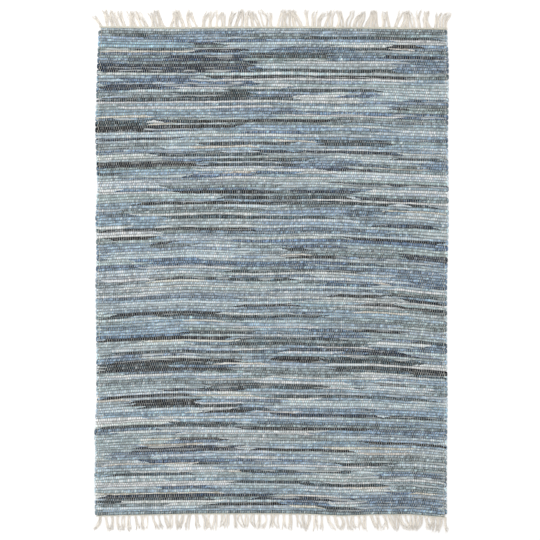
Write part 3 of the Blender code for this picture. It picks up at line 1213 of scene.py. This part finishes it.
    def rings(self, first: int, last: int) -> tuple[np.ndarray, np.ndarray]:
        """Give a run's rings, each end drawn out to a point along its neighbour's edge.

        Args:
            first: the run's first ring on the path.
            last: its last ring.

        Returns:
            The rings, and their numbers on the path.
        """
        path = self.weft.path
        low = max(first - self.laps[first], 0)
        high = min(last + self.laps[last], len(path) - 1)
        index = np.arange(low, high + 1)
        rings = path[low : high + 1].copy()
        before = np.clip(first - index, 0, None) / (self.laps[first] + 1)
        after = np.clip(index - last, 0, None) / (self.laps[last] + 1)
        for share, side in ((before, 2 - self.lap_sides[first]), (after, self.lap_sides[last])):
            lapped = share > 0
            anchor = rings[lapped, side][:, None, :]
            keep = (1 - share[lapped])[:, None, None] ** self.POINT_POWER
            rings[lapped] = anchor + (rings[lapped] - anchor) * keep
            rings[lapped, :, 2] += self.LAP_LIFT
        return rings, index

    def worn(self, pinched: np.ndarray, pale: float) -> tuple[np.ndarray, np.ndarray]:
        """Draw how one run is faded, rubbed and flecked, with painted light and shade.

        Args:
            pinched: whether a thread pinches the run at each ring.
            pale: how pale the rag is, from 0 to 1.

        Returns:
            How bright its dye is with its painted light and shade, and how much lint it
            has, of shape (rings, 4).
        """
        draw = self.draw
        count = len(pinched)
        fading = self.LONG_FADING * drift_line(draw, count, max(3, count // self.LONG_PATCH))
        fading += self.SHORT_FADING * drift_line(draw, count, max(3, count // self.SHORT_PATCH))
        wear_and_shade = self.DARK_WEAR_AND_SHADE - self.PALE_WEAR_AND_SHADE_LESS * pale
        # Crumples: random brightness, partly uneven wear and partly painted light and shade of the
        # folds
        crumple_shading = draw.normal(0, self.CRUMPLE_SHADING, (count, 4))
        bright = np.exp((fading[:, None] + crumple_shading) * wear_and_shade)
        # Painted shade: a few corners darkened as holes between folds
        bright[draw.random((count, 4)) < self.FOLD_SHADE_CHANCE] *= self.FOLD_SHADE[0] + self.FOLD_SHADE[1] * pale
        # Painted shade round the thread where it pinches a pale rag; painted light on the top and
        # painted shade on the sides and bottom
        pinch_tone_and_shade, on_swell = [dark + more * pale for dark, more in (self.PINCH_TONE_AND_SHADE, self.SWOLLEN)]
        bright *= np.where(pinched, pinch_tone_and_shade, on_swell)[:, None] * np.array(self.SIDE_SHADING)
        lint = draw.exponential(self.LINT_MEAN, (count // 2 + 1, 4)) - self.LINT_FLOOR
        lint = np.repeat(np.clip(lint, 0, self.LINT_MOST), 2, axis=0)[:count]
        lint *= np.where(pinched, self.LINT_PINCHED, self.LINT_SWOLLEN)[:, None]
        return bright, lint

    def back(self, shade: np.ndarray, pale: float) -> np.ndarray:
        """Draw the colour of one rag's turned-up edge.

        Args:
            shade: the rag's own linear colour.
            pale: how pale it is, from 0 to 1.

        Returns:
            The edge's linear colour.
        """
        if self.draw.random() < self.DARK_EDGE * pale:
            return shade * self.draw.uniform(*self.DARK_EDGE_SHADE)
        return shade + (linear(self.BACK) - shade) * self.draw.uniform(*self.BACK_SHARE)

    def turned_edge(self, count: int) -> np.ndarray:
        """Draw the place, the width and the strength of one run's turned-up edge.

        Args:
            count: the run's rings.

        Returns:
            Triples of shape (rings, 3).
        """
        draw = self.draw
        knots = max(3, count // self.EDGE_PATCH)
        kind = draw.choice(len(EDGES), p=column(EDGES, "chance"))
        place = draw.uniform(*self.EDGE_PLACE) * draw.choice([-1, 1])
        place = place + self.EDGE_SWAY * drift_line(draw, count, knots)
        widths = [draw.uniform(edge.least, edge.most) if edge.most else 0.0 for edge in EDGES]
        middle, swing = self.EDGE_WIDTH
        width = widths[kind] * (middle + swing * drift_line(draw, count, knots))
        middle, swing = self.EDGE_STRENGTH
        strength = np.clip(middle + swing * drift_line(draw, count, knots), 0, 1)
        strength *= draw.uniform(*self.EDGE_SHOWS) * (kind > 0)
        return np.stack([place, np.maximum(width, self.EDGE_LEAST), strength], -1)

    def shades(self, index: np.ndarray, rag: int) -> dict[str, np.ndarray]:
        """Colour one run, with an edge of its back or of a darker thread turned up.

        Args:
            index: the run's ring numbers on the path.
            rag: its number.

        Returns:
            Triples of shape (rings, 4, 3): "dye" and "back", which are linear colours, "dye"
            with the painted light and shade in it, and "turn", which holds the edge's place, width and
            strength.
        """
        draw = self.draw
        shade = linear(self.dyes[rag].value)
        shade = shade * (1 + draw.uniform(-self.SHADE_SPREAD, self.SHADE_SPREAD))
        shade = shade * (1 + draw.uniform(-self.TINT_SPREAD, self.TINT_SPREAD, 3))
        pale = min(1.0, shade.mean() / self.PALE_SHADE)
        bright, lint = self.worn(self.weft.path_pinched[index], pale)
        colours = shade * bright[..., None] + linear(self.LINT) * (1 - pale) * lint[..., None]
        back = self.back(shade, pale)
        turn = self.turned_edge(len(index))
        return {
            "dye": np.clip(colours, self.DARKEST, self.PALEST),
            "back": np.broadcast_to(back, colours.shape),
            "turn": np.broadcast_to(turn[:, None, :], colours.shape),
        }


@dataclass
class Warp:
    """The thin cotton ends that hold the picks, over one and under the next."""

    weft: Weft
    radius: float = 0.66 * MM
    radius_spread: float = 0.12
    radius_drift: float = 0.45
    radius_knots: int = 60
    sway: float = 0.24 * MM
    rise: float = 0.75
    sink: float = 0.6
    thick_ends: int = 2
    edge_radius: float = 1.25 * MM
    edge_shift: float = 0.7 * MM
    tail: float = 1.2 * MM
    tail_height: float = 2.4 * MM
    girth: float = 4 * MM
    map_step: float = 0.37
    colour: str = "d4d1c6"
    tint_spread: tuple[float, float] = (-0.08, 0.05)
    soiling: tuple[float, float] = (-0.3, 0.05)
    seed: int = 91

    def thread(self, number: int, draw: np.random.Generator) -> tuple[np.ndarray, np.ndarray]:
        """Give one warp end's rings and colours, from the near heading to the far one.

        Args:
            number: the end's number, from the left.
            draw: the seeded source.

        Returns:
            Rings of shape (rings, 3, 3) and colours of the same shape.
        """
        weft = self.weft
        y_bounds = weft.bounds_y[:, number]
        x_bounds = weft.bounds_x[:, number]
        y = (y_bounds[:-1] + y_bounds[1:]) / 2
        x = (x_bounds[:-1] + x_bounds[1:]) / 2 + draw.normal(0, self.sway, len(y))
        fullness = draw.normal(0, self.radius_spread)
        fullness = fullness + self.radius_drift * drift_line(draw, len(y), self.radius_knots)
        radius = self.radius * np.exp(fullness)
        place = min(number, weft.warp_count - 1 - number)
        if place < self.thick_ends:
            radius = np.full(len(y), self.edge_radius)
            inward = 1 if number == place else -1
            x = x + inward * self.edge_shift * (1 - 2 * place)
        tops = weft.tops[:, number]
        above = tops + radius * self.rise
        below = tops - weft.thickness - radius * self.sink
        z = np.maximum(np.where(weft.pinched[:, number], above, below), radius * self.sink)
        x = np.concatenate([[x_bounds[0]], x, [x_bounds[-1]]])
        y = np.concatenate([[y_bounds[0] - self.tail], y, [y_bounds[-1] + self.tail]])
        z = np.concatenate([[self.tail_height], z, [self.tail_height]])
        radius = np.concatenate([radius[:1], radius, radius[-1:]])
        foot = z - radius * 0.5
        corners = ((x + radius, foot), (x, z + radius), (x - radius, foot))
        rings = np.stack([np.stack([x, y, z], -1) for x, z in corners], axis=1)
        tint = linear(self.colour) * (1 + draw.uniform(*self.tint_spread))
        soiling = 1 + draw.uniform(*self.soiling, (len(rings), 1, 1))
        return rings, np.broadcast_to(tint, rings.shape) * soiling

    def build(self, material: bpy.types.Material) -> list[bpy.types.Object]:
        """Make the left and the right half of the warp, each one piece.

        Args:
            material: the threads' finish.

        Returns:
            The two pieces.
        """
        draw = np.random.default_rng(self.seed)
        count = self.weft.warp_count
        halves = {"warp_left": range(count // 2), "warp_right": range(count // 2, count)}
        pieces = []
        for name, numbers in halves.items():
            batch = Batch(name)
            for number in numbers:
                rings, colours = self.thread(number, draw)
                batch.tube(rings, self.girth, number * self.map_step, dye=colours)
            pieces.append(batch.build(material))
        return pieces


def strand(path: np.ndarray, radius: np.ndarray, sides: int = 3, spin: float = 0.0) -> np.ndarray:
    """Wrap rings round a path that lies mostly flat.

    Args:
        path: its points, of shape (points, 3).
        radius: its radius at each point.
        sides: how many sides its section has.
        spin: how far the section turns in all, in radians.

    Returns:
        Rings of shape (points, sides, 3).
    """
    tangent = np.gradient(path, axis=0)
    tangent /= np.linalg.norm(tangent, axis=1, keepdims=True) + TINY
    right = np.cross(tangent, [0.0, 0.0, 1.0])
    right /= np.linalg.norm(right, axis=1, keepdims=True) + TINY
    up = np.cross(right, tangent)
    turn = np.linspace(0, spin, len(path))[:, None] + 2 * np.pi * np.arange(sides)[None, :] / sides
    offset = np.cos(turn)[..., None] * right[:, None, :] + np.sin(turn)[..., None] * up[:, None, :]
    return path[:, None, :] + radius[:, None, None] * offset


class Tassel(NamedTuple):
    """Where one tassel starts along X, how far its tip lies beside that, and how far out."""

    root: float
    lean: float
    reach: float


@dataclass
class Fringe:
    """One end's twined heading and the tassels of the warp's own ends."""

    lay: Lay
    end: End
    depth: float
    reach: float
    first: float
    last: float
    width: float
    flare: float
    leans: str
    cords: int
    heading_seed: int
    plan_seed: int
    yarn_seed: int

    # The heading's cords
    heading_share: float = 0.992
    heading_steps: int = 320
    heading_gap: float = 0.6 * MM
    heading_height: float = 3.0 * MM
    heading_wander: float = 0.35 * MM
    heading_knots: int = 60
    heading_girth: float = 6 * MM
    heading_colour: str = "e2e1d2"
    heading_tones: tuple[float, float] = (-0.06, 0.06)
    twist_pitch: float = 7.5 * MM
    ply_swing: float = 0.26
    ply_radius: float = 0.38

    # The tassels' yarns
    yarns: int = 8
    yarn_radius: float = 1.10 * MM
    yarn_fullness: tuple[float, float] = (0.85, 1.1)
    yarn_girth: float = 6.5 * MM
    yarn_map_step: float = 0.21
    yarn_colour: str = "fcf5ea"
    tassel_tones: tuple[float, float] = (-0.06, 0.05)
    yarn_tones: tuple[float, float] = (-0.09, 0.05)
    tip_paler: float = 0.04
    yarn_steps: int = 10
    yarn_start: float = 1.5 * MM
    yarn_lengths: tuple[float, float] = (0.80, 1.05)
    taper: float = 0.25
    layer: float = 1.2 * MM
    root_rise: float = 0.9 * MM
    lifts: tuple[float, float] = (0.4 * MM, 2.0 * MM)
    lift_span: float = 0.8
    reach_spread: float = 4.0 * MM
    short_share: float = 0.68
    arch: float = 1.3
    bow: float = 2.6 * MM
    waist: float = 0.12
    tip_spread: tuple[float, float] = (0.75, 1.35)
    ripple: float = 0.9 * MM
    ripple_waves: tuple[float, float] = (0.7, 1.4)
    fork: float = 2.0 * MM
    hook: float = 6.0 * MM
    hook_start: float = 0.6
    spin: float = 4.0

    # The stray threads and the loose fibres at the tips
    stray_radius: float = 0.42 * MM
    stray_thinning: float = 0.4
    stray_girth: float = 2.4 * MM
    stray_aside: tuple[float, float] = (3 * MM, 9 * MM)
    stray_bend: float = 1.5
    stray_back: tuple[float, float] = (0 * MM, 6 * MM)
    stray_sink: float = 0.4
    stray_floor: float = 0.4 * MM
    fibres: int = 3
    fibre_steps: int = 3
    fibre_radius: float = 0.34 * MM
    fibre_thinning: float = 0.55
    fibre_girth: float = 2 * MM
    fibre_lengths: tuple[float, float] = (4 * MM, 12 * MM)
    fibre_angle: float = 0.38
    fibre_curl: float = 1.2 * MM
    fibre_rise: tuple[float, float] = (0 * MM, 1.2 * MM)
    fibre_sink: float = 0.6
    fibre_floor: float = 0.35 * MM

    def name(self, part: str) -> str:
        """Name one of this end's pieces."""
        return f"{part}_{self.end.name.lower()}"

    def build_heading(self, material: bpy.types.Material) -> bpy.types.Object:
        """Make the heading: two-ply cords twined across the warp.

        Args:
            material: the cords' finish.

        Returns:
            The heading, as one piece.
        """
        draw = np.random.default_rng(self.heading_seed)
        batch = Batch(self.name("heading"))
        steps = self.heading_steps
        spacing = self.depth / self.cords
        swing = spacing * self.ply_swing
        radius = np.full(steps, spacing * self.ply_radius)
        corners = np.array([-self.heading_share, self.heading_share])
        (left, right), _ = self.lay.place(corners, self.end.value * self.lay.length / 2)
        x = np.linspace(float(left), float(right), steps)
        edge = self.lay.end_y(self.end, x)
        for cord in range(self.cords):
            middle = edge + self.end.value * (self.heading_gap + spacing * (cord + 0.5))
            middle = middle + drift_line(draw, steps, self.heading_knots) * self.heading_wander
            for ply in range(2):
                turn = 2 * np.pi * x / self.twist_pitch + ply * np.pi
                y = middle + swing * np.cos(turn)
                z = self.heading_height + swing * np.sin(turn)
                shade = 1 + draw.uniform(*self.heading_tones, (steps, 1, 1))
                tint = linear(self.heading_colour) * shade
                rings = strand(np.stack([x, y, z], -1), radius)
                batch.tube(rings, self.heading_girth, cord + 0.5 * ply, dye=tint)
        return batch.build(material)

    def tassel_plan(self) -> list[Tassel]:
        """Plan the tassels, one a letter.

        Returns:
            The tassels from left to right.
        """
        draw = random.Random(self.plan_seed)
        drifts = column(DRIFTS, self.end.name.lower())
        plan = []
        for number, letter in enumerate(self.leans):
            share = number / (len(self.leans) - 1)
            root = self.first + share * (self.last - self.first)
            root += float(np.interp(share, column(DRIFTS, "share"), drifts))
            reach = self.reach + draw.uniform(-self.reach_spread, self.reach_spread)
            if letter == SHORT:
                reach *= self.short_share
            plan.append(Tassel(root, LEANS[letter], reach))
        return plan

    def build_tassels(self, material: bpy.types.Material) -> bpy.types.Object:
        """Make the tassels: loose yarns side by side, frayed at their tips.

        Args:
            material: the yarns' finish.

        Returns:
            All this end's tassels, as one piece.
        """
        draw = np.random.default_rng(self.yarn_seed)
        batch = Batch(self.name("tassels"))
        for number, tassel in enumerate(self.tassel_plan()):
            self.add_tassel(batch, draw, tassel, self.lifts[number % 2])
        return batch.build(material)

    def add_tassel(
        self, batch: Batch, draw: np.random.Generator, tassel: Tassel, lift: float
    ) -> None:
        """Add one tassel's yarns and its loose fibres.

        Args:
            batch: the fringe's batch.
            draw: the seeded source.
            tassel: its place.
            lift: how high it arches, over or under its neighbours.
        """
        t = np.linspace(0, 1, self.yarn_steps)
        belly = np.sin(np.pi * t)
        bow = draw.normal(0, self.bow)
        tip = draw.uniform(*self.tip_spread)
        fork = draw.normal(0, self.fork) * belly + abs(draw.normal(0, self.fork)) * t**2
        bent = np.clip((t - self.hook_start) / (1 - self.hook_start), 0, 1) ** 2
        hook = draw.choice([-1, 0, 0, 0, 1]) * self.hook * bent
        tone = 1 + draw.uniform(*self.tassel_tones)
        along = (tassel.root - self.first) / (self.last - self.first)
        full = self.width * (1 + self.flare * along**3)
        width = full * (1 - self.waist * belly + (tip - 1) * t**2)
        edge = self.lay.end_y(self.end, np.full(len(t), tassel.root))
        for yarn in range(self.yarns):
            place = (yarn - (self.yarns - 1) / 2) / (self.yarns - 1)
            ripple = draw.normal(0, self.ripple) * t
            ripple *= np.sin(2 * np.pi * (t * draw.uniform(*self.ripple_waves) + draw.random()))
            x = tassel.root + place * width + tassel.lean * t**self.arch + bow * belly + ripple
            x += math.copysign(1, place) * fork + hook
            length = tassel.reach * draw.uniform(*self.yarn_lengths)
            y = edge + self.end.value * (self.yarn_start + t * (length - self.yarn_start))
            z = self.yarn_radius + (yarn % 2) * self.layer * (1 - 0.5 * t)
            z += self.root_rise * (1 - t) ** 3 + lift * np.sin(self.lift_span * np.pi * t)
            path = np.stack([x, y, z], -1)
            radius = self.yarn_radius * (1 - self.taper * t**3) * draw.uniform(*self.yarn_fullness)
            rings = strand(path, radius, spin=draw.uniform(-self.spin, self.spin))
            tint = linear(self.yarn_colour) * tone * (1 + draw.uniform(*self.yarn_tones))
            paler = (1 + self.tip_paler * t)[:, None, None]
            batch.tube(rings, self.yarn_girth, yarn * self.yarn_map_step, dye=tint * paler)
            self.add_fray(batch, draw, path, tint)
            if yarn % 2 == 0:
                self.add_stray(batch, draw, path, tint)

    def add_stray(
        self, batch: Batch, draw: np.random.Generator, path: np.ndarray, tint: np.ndarray
    ) -> None:
        """Add one thin thread that leaves its yarn part of the way out.

        Args:
            batch: the fringe's batch.
            draw: the seeded source.
            path: the yarn's points.
            tint: its linear colour.
        """
        start = int(draw.integers(1, len(path) - 4))
        stray = path[start:].copy()
        t = np.linspace(0, 1, len(stray))
        stray[:, 0] += draw.choice([-1, 1]) * draw.uniform(*self.stray_aside) * t**self.stray_bend
        stray[:, 1] -= self.end.value * draw.uniform(*self.stray_back) * t
        stray[:, 2] = np.maximum(stray[:, 2] * (1 - self.stray_sink * t), self.stray_floor)
        radius = self.stray_radius * (1 - self.stray_thinning * t)
        batch.tube(strand(stray, radius), self.stray_girth, float(start), dye=tint)

    def add_fray(
        self, batch: Batch, draw: np.random.Generator, path: np.ndarray, tint: np.ndarray
    ) -> None:
        """Add the loose fibres at one yarn's tip.

        Args:
            batch: the fringe's batch.
            draw: the seeded source.
            path: the yarn's points.
            tint: its linear colour.
        """
        tip = path[-1]
        heading = path[-1] - path[-3]
        heading /= np.linalg.norm(heading)
        t = np.linspace(0, 1, self.fibre_steps)
        for _ in range(self.fibres):
            angle = draw.normal(0, self.fibre_angle)
            cos, sin = math.cos(angle), math.sin(angle)
            way = np.array([[cos, -sin], [sin, cos]]) @ heading[:2]
            length = draw.uniform(*self.fibre_lengths)
            curl = draw.normal(0, self.fibre_curl) * t**2
            x = tip[0] + way[0] * length * t - way[1] * curl
            y = tip[1] + way[1] * length * t + way[0] * curl
            rise = draw.uniform(*self.fibre_rise) * t
            z = np.maximum(tip[2] * (1 - self.fibre_sink * t) + rise, self.fibre_floor)
            radius = self.fibre_radius * (1 - self.fibre_thinning * t)
            fibre = strand(np.stack([x, y, z], -1), radius)
            batch.tube(fibre, self.fibre_girth, length, dye=tint)


def add_node(
    tree: bpy.types.NodeTree, kind: str, settings: dict | None = None, links: dict | None = None
) -> bpy.types.Node:
    """Add one shader node.

    Args:
        tree: the material's node tree.
        kind: the node's type, without the words that all of them start with.
        settings: its properties by name, or its inputs' values by name or number.
        links: its inputs, by name or number, with the sockets that feed them.

    Returns:
        The new node.
    """
    node = tree.nodes.new(f"ShaderNode{kind}")
    for key, value in (settings or {}).items():
        if isinstance(key, str) and hasattr(node, key):
            setattr(node, key, value)
        else:
            node.inputs[key].default_value = value
    for key, source in (links or {}).items():
        tree.links.new(source, node.inputs[key])
    return node


@dataclass(frozen=True)
class ClothFinish:
    """A spun or woven cotton finish, coloured by the piece's dye."""

    name: str
    contrast: float
    sheen: float
    bump: float
    roughness: float
    slub: float
    thread: float = 1.3 * MM
    slub_width: float = 0.22
    twill_angle: float = 58.0
    relief: float = 0.4 * MM

    def dyed(self, tree: bpy.types.NodeTree, strip: bpy.types.NodeSocket) -> bpy.types.NodeSocket:
        """Give the colour before its threads show.

        Args:
            tree: the material's node tree.
            strip: places on the laid-out strip, in metres; not used here.

        Returns:
            The colour's socket.
        """
        return add_node(tree, "Attribute", {"attribute_name": "dye"}).outputs["Vector"]

    def material(self) -> bpy.types.Material:
        """Make the finish: dyed threads, paler and darker by turns, with a soft nap.

        Returns:
            The new material.
        """
        material = bpy.data.materials.new(self.name)
        material.use_nodes = True
        tree = material.node_tree
        tree.nodes.clear()
        strip = add_node(tree, "UVMap", {"uv_map": "strip"}).outputs["UV"]

        # Twilled ribs, a thread apart, and longer slubs where a thread is thick
        scale = (1 / self.thread, 1 / self.thread, 1)
        turn = (0, 0, math.radians(self.twill_angle))
        twill = add_node(tree, "Mapping", {"Rotation": turn, "Scale": scale}, {"Vector": strip})
        ribs = add_node(
            tree,
            "TexWave",
            {"Scale": 0.5, "Distortion": 1.2, "Detail": 1.0, "Detail Scale": 1.5},
            {"Vector": twill.outputs["Vector"]},
        )
        scale = (1 / self.slub, 1 / (self.slub * self.slub_width), 1)
        pull = add_node(tree, "Mapping", {"Scale": scale}, {"Vector": strip})
        slubs = add_node(
            tree,
            "TexNoise",
            {"Scale": 1.0, "Detail": 3.0, "Roughness": 0.6},
            {"Vector": pull.outputs["Vector"]},
        )
        fed = {0: ribs.outputs["Fac"], 1: slubs.outputs["Fac"]}
        weave = add_node(tree, "Math", {"operation": "ADD"}, fed).outputs["Value"]

        low, high = 1 - self.contrast, 1 + self.contrast
        level = add_node(
            tree,
            "MapRange",
            {"From Min": 0.4, "From Max": 1.6, "To Min": low, "To Max": high},
            {"Value": weave},
        )
        fed = {0: self.dyed(tree, strip), "Scale": level.outputs["Result"]}
        colour = add_node(tree, "VectorMath", {"operation": "SCALE"}, fed)
        nap = {"Strength": self.bump, "Distance": self.relief}
        bump = add_node(tree, "Bump", nap, {"Height": weave})
        shader = add_node(
            tree,
            "BsdfPrincipled",
            {
                "Roughness": self.roughness,
                "Sheen Weight": self.sheen,
                "Sheen Roughness": 0.5,
                "Specular IOR Level": 0.25,
            },
            {"Base Color": colour.outputs["Vector"], "Normal": bump.outputs["Normal"]},
        )
        add_node(tree, "OutputMaterial", links={"Surface": shader.outputs["BSDF"]})
        return material


@dataclass(frozen=True)
class DenimFinish(ClothFinish):
    """Folded denim: its dye, and an edge of its back or of darker thread turned up."""

    roughness: float = 0.95
    slub: float = 14 * MM
    thread: float = 1.6 * MM
    fray: float = 7.0 * MM
    fray_depth: float = 1.2

    def dyed(self, tree: bpy.types.NodeTree, strip: bpy.types.NodeSocket) -> bpy.types.NodeSocket:
        """Give the dye with the turned edge drawn over it, ragged along its line.

        Args:
            tree: the material's node tree.
            strip: places on the laid-out strip, in metres.

        Returns:
            The colour's socket.
        """
        dye = super().dyed(tree, strip)
        back = add_node(tree, "Attribute", {"attribute_name": "back"}).outputs["Vector"]
        turn = add_node(tree, "Attribute", {"attribute_name": "turn"}).outputs["Vector"]
        edge = add_node(tree, "SeparateXYZ", links={0: turn})
        place = add_node(tree, "SeparateXYZ", links={0: strip})

        # How far this place lies from the edge's line, which the fray makes ragged
        scale = (1 / self.fray, 0.35 / self.fray, 1)
        grain = add_node(tree, "Mapping", {"Scale": scale}, {"Vector": strip})
        ragged = add_node(
            tree,
            "TexNoise",
            {"Scale": 1.0, "Detail": 4.0, "Roughness": 0.65},
            {"Vector": grain.outputs["Vector"]},
        )
        gauge = {"operation": "MULTIPLY_ADD", 1: 4 / Weft.girth, 2: -1.0}
        across = add_node(tree, "Math", gauge, {0: place.outputs["Y"]})
        gauge = {"operation": "MULTIPLY_ADD", 1: self.fray_depth, 2: -self.fray_depth / 2}
        shift = add_node(tree, "Math", gauge, {0: ragged.outputs["Fac"]})
        fed = {0: across.outputs["Value"], 1: shift.outputs["Value"]}
        moved = add_node(tree, "Math", {"operation": "ADD"}, fed)
        fed = {0: moved.outputs["Value"], 1: edge.outputs["X"]}
        away = add_node(tree, "Math", {"operation": "SUBTRACT"}, fed)
        fed = {0: away.outputs["Value"]}
        distance = add_node(tree, "Math", {"operation": "ABSOLUTE"}, fed)

        # The back's colour up to the edge's width, and the dye from a little past it
        gauge = {"operation": "MULTIPLY_ADD", 1: 1.3, 2: 0.04}
        rim = add_node(tree, "Math", gauge, {0: edge.outputs["Y"]})
        mask = add_node(
            tree,
            "MapRange",
            {"To Max": 0.0},
            {
                "Value": distance.outputs["Value"],
                "From Min": edge.outputs["Y"],
                "From Max": rim.outputs["Value"],
                "To Min": edge.outputs["Z"],
            },
        )
        fed = {"Factor": mask.outputs["Result"], 4: dye, 5: back}
        return add_node(tree, "Mix", {"data_type": "VECTOR"}, fed).outputs[1]


# Washed denim: indigo warp over white weft in a steep twill, rubbed pale on its ribs
DENIM_DARK = DenimFinish("denim_dark_washed", contrast=0.26, sheen=0.03, bump=0.5)
DENIM_MID = DenimFinish("denim_mid_washed", contrast=0.20, sheen=0.06, bump=0.5)
DENIM_PALE = DenimFinish("denim_pale_bleached", contrast=0.12, sheen=0.10, bump=0.45)
# Undyed plied cotton: soft, matt, a little uneven along its length
COTTON_WARP = ClothFinish(
    "cotton_warp_plied", contrast=0.10, sheen=0.20, bump=0.4, roughness=0.90, slub=9 * MM
)
# The same cotton untwisted at the ends: softer still, with a pale fuzz
COTTON_FRINGE = ClothFinish(
    "cotton_fringe_loose", contrast=0.10, sheen=0.30, bump=0.5, roughness=0.92, slub=6 * MM
)


@dataclass
class Studio:
    """The pale floor, the soft light and the camera straight above the rug."""

    floor_size: float = 14.0
    floor_drop: float = 0.2 * MM
    floor_shade: float = 0.97
    floor_roughness: float = 0.9
    world_strength: float = 0.94
    lamp_size: float = 2.4
    lamp_energy: float = 46.0
    lamp_place: tuple[float, float, float] = (-1.4, 0.9, 3.4)
    lamp_tilt: tuple[float, float] = (-14.0, -22.0)
    lens: float = 85.0
    sensor: float = 36.0

    # The photo is 540 pixels wide, and a pixel is 3.409 mm on the rug
    view_width: float = 540 * 3.409 * MM
    view_centre: tuple[float, float] = (-6.0 * MM, 2.6 * MM)

    def build_floor(self) -> None:
        """Lay a plain floor under the rug, in pale matt paint that takes soft shadows."""
        place = (0, 0, -self.floor_drop)
        bpy.ops.mesh.primitive_plane_add(size=self.floor_size, location=place)
        floor = bpy.context.object
        floor.name = "floor"
        material = bpy.data.materials.new("floor_matt_paint")
        material.use_nodes = True
        shader = material.node_tree.nodes["Principled BSDF"]
        shader.inputs["Base Color"].default_value = (*[self.floor_shade] * 3, 1)
        shader.inputs["Roughness"].default_value = self.floor_roughness
        floor.data.materials.append(material)

    def build_light(self) -> None:
        """Light the rug evenly, with one soft lamp from the upper left."""
        world = bpy.data.worlds.new("studio")
        world.use_nodes = True
        sky = world.node_tree.nodes["Background"]
        sky.inputs["Color"].default_value = (1, 1, 1, 1)
        sky.inputs["Strength"].default_value = self.world_strength
        bpy.context.scene.world = world
        lamp = bpy.data.lights.new("softbox", "AREA")
        lamp.shape = "SQUARE"
        lamp.size = self.lamp_size
        lamp.energy = self.lamp_energy
        holder = bpy.data.objects.new("softbox", lamp)
        holder.location = self.lamp_place
        holder.rotation_euler = (*map(math.radians, self.lamp_tilt), 0)
        bpy.context.scene.collection.objects.link(holder)

    def build_camera(self) -> None:
        """Hang the camera straight above, with the photo's top towards +Y."""
        camera = bpy.data.cameras.new("overhead")
        camera.lens = self.lens
        camera.sensor_width = self.sensor
        holder = bpy.data.objects.new("overhead", camera)
        distance = self.view_width * self.lens / self.sensor
        holder.location = (*self.view_centre, distance)
        bpy.context.scene.collection.objects.link(holder)
        bpy.context.scene.camera = holder
        bpy.context.scene.view_settings.view_transform = "Standard"

    def build(self) -> None:
        """Set the whole stage."""
        self.build_floor()
        self.build_light()
        self.build_camera()


class Rug:
    """The whole rug, piece by piece."""

    MAP_STEP = 0.173

    def __init__(self) -> None:
        """Lay the cloth and plan both fringes."""
        self.lay = Lay()
        self.weft = Weft(self.lay)
        self.strips = Strips(self.weft)
        self.fringes = (
            Fringe(
                self.lay,
                End.FAR,
                depth=6.5 * MM,
                reach=57 * MM,
                first=-0.581,
                last=0.593,
                width=12.0 * MM,
                flare=0.0,
                leans="slLLL|LL<llLR|LlLrrr|rRr|lLl|Rr|l<l|rR|rlRRR>rl|lRR|ll|Lr|r",
                cords=2,
                yarns=9,
                heading_seed=72,
                plan_seed=18,
                yarn_seed=128,
            ),
            Fringe(
                self.lay,
                End.NEAR,
                depth=3.6 * MM,
                reach=50 * MM,
                first=-0.585,
                last=0.589,
                width=8.2 * MM,
                flare=0.5,
                leans="lr||||r||Rrr||ll|r|l|||r||||||||rrl||Rrrr|r|RrrRrRR||lrr|l|",
                cords=1,
                heading_seed=62,
                plan_seed=16,
                yarn_seed=106,
            ),
        )

    def build_weft(self) -> list[bpy.types.Object]:
        """Make the dark, middle and pale rags, a third of the weft in each piece.

        Returns:
            The three pieces, the darkest first.
        """
        runs = self.strips.runs()
        tones = [linear(self.strips.dyes[rag].value).mean() for _, _, rag in runs]
        order = np.argsort(tones, kind="stable")
        lengths = np.array([runs[i][1] - runs[i][0] for i in order])
        group = np.empty(len(runs), int)
        group[order] = np.minimum((np.cumsum(lengths) - 1) * 3 // lengths.sum(), 2)
        batches = [Batch("weft_dark"), Batch("weft_mid"), Batch("weft_pale")]
        for number, (first, last, rag) in enumerate(runs):
            rings, index = self.strips.rings(first, last)
            shades = self.strips.shades(index, rag)
            batches[group[number]].tube(rings, self.weft.girth, number * self.MAP_STEP, **shades)
        finishes = (DENIM_DARK, DENIM_MID, DENIM_PALE)
        return [batch.build(finish.material()) for batch, finish in zip(batches, finishes)]

    def join(self, piece: bpy.types.Object, node: str) -> None:
        """Fix one piece to the frame in place of its plain solid, and report it.

        Args:
            piece: the finished piece.
            node: the solid that it stands for.
        """
        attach(piece, BODY)
        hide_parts(node)
        triangles = sum(len(face.vertices) - 2 for face in piece.data.polygons)
        LOG.info("%s: %d triangles", piece.name, triangles)

    def build(self) -> None:
        """Make every piece and fix each one to the frame in place of its plain solid."""
        wefts = self.build_weft()
        for piece in wefts:
            self.join(piece, "rag_cloth")
        cotton = COTTON_WARP.material()
        for piece in Warp(self.weft).build(cotton):
            self.join(piece, "rag_cloth")
        loose = COTTON_FRINGE.material()
        for fringe in self.fringes:
            node = fringe.name("fringe")
            for piece in (fringe.build_heading(cotton), fringe.build_tassels(loose)):
                self.join(piece, node)


def main() -> None:
    """Build the rug and its stage."""
    logging.basicConfig(level=logging.INFO, format="%(message)s")
    bpy.ops.object.select_all(action="DESELECT")
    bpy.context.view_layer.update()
    Studio().build()
    Rug().build()


if __name__ == "__main__":
    main()
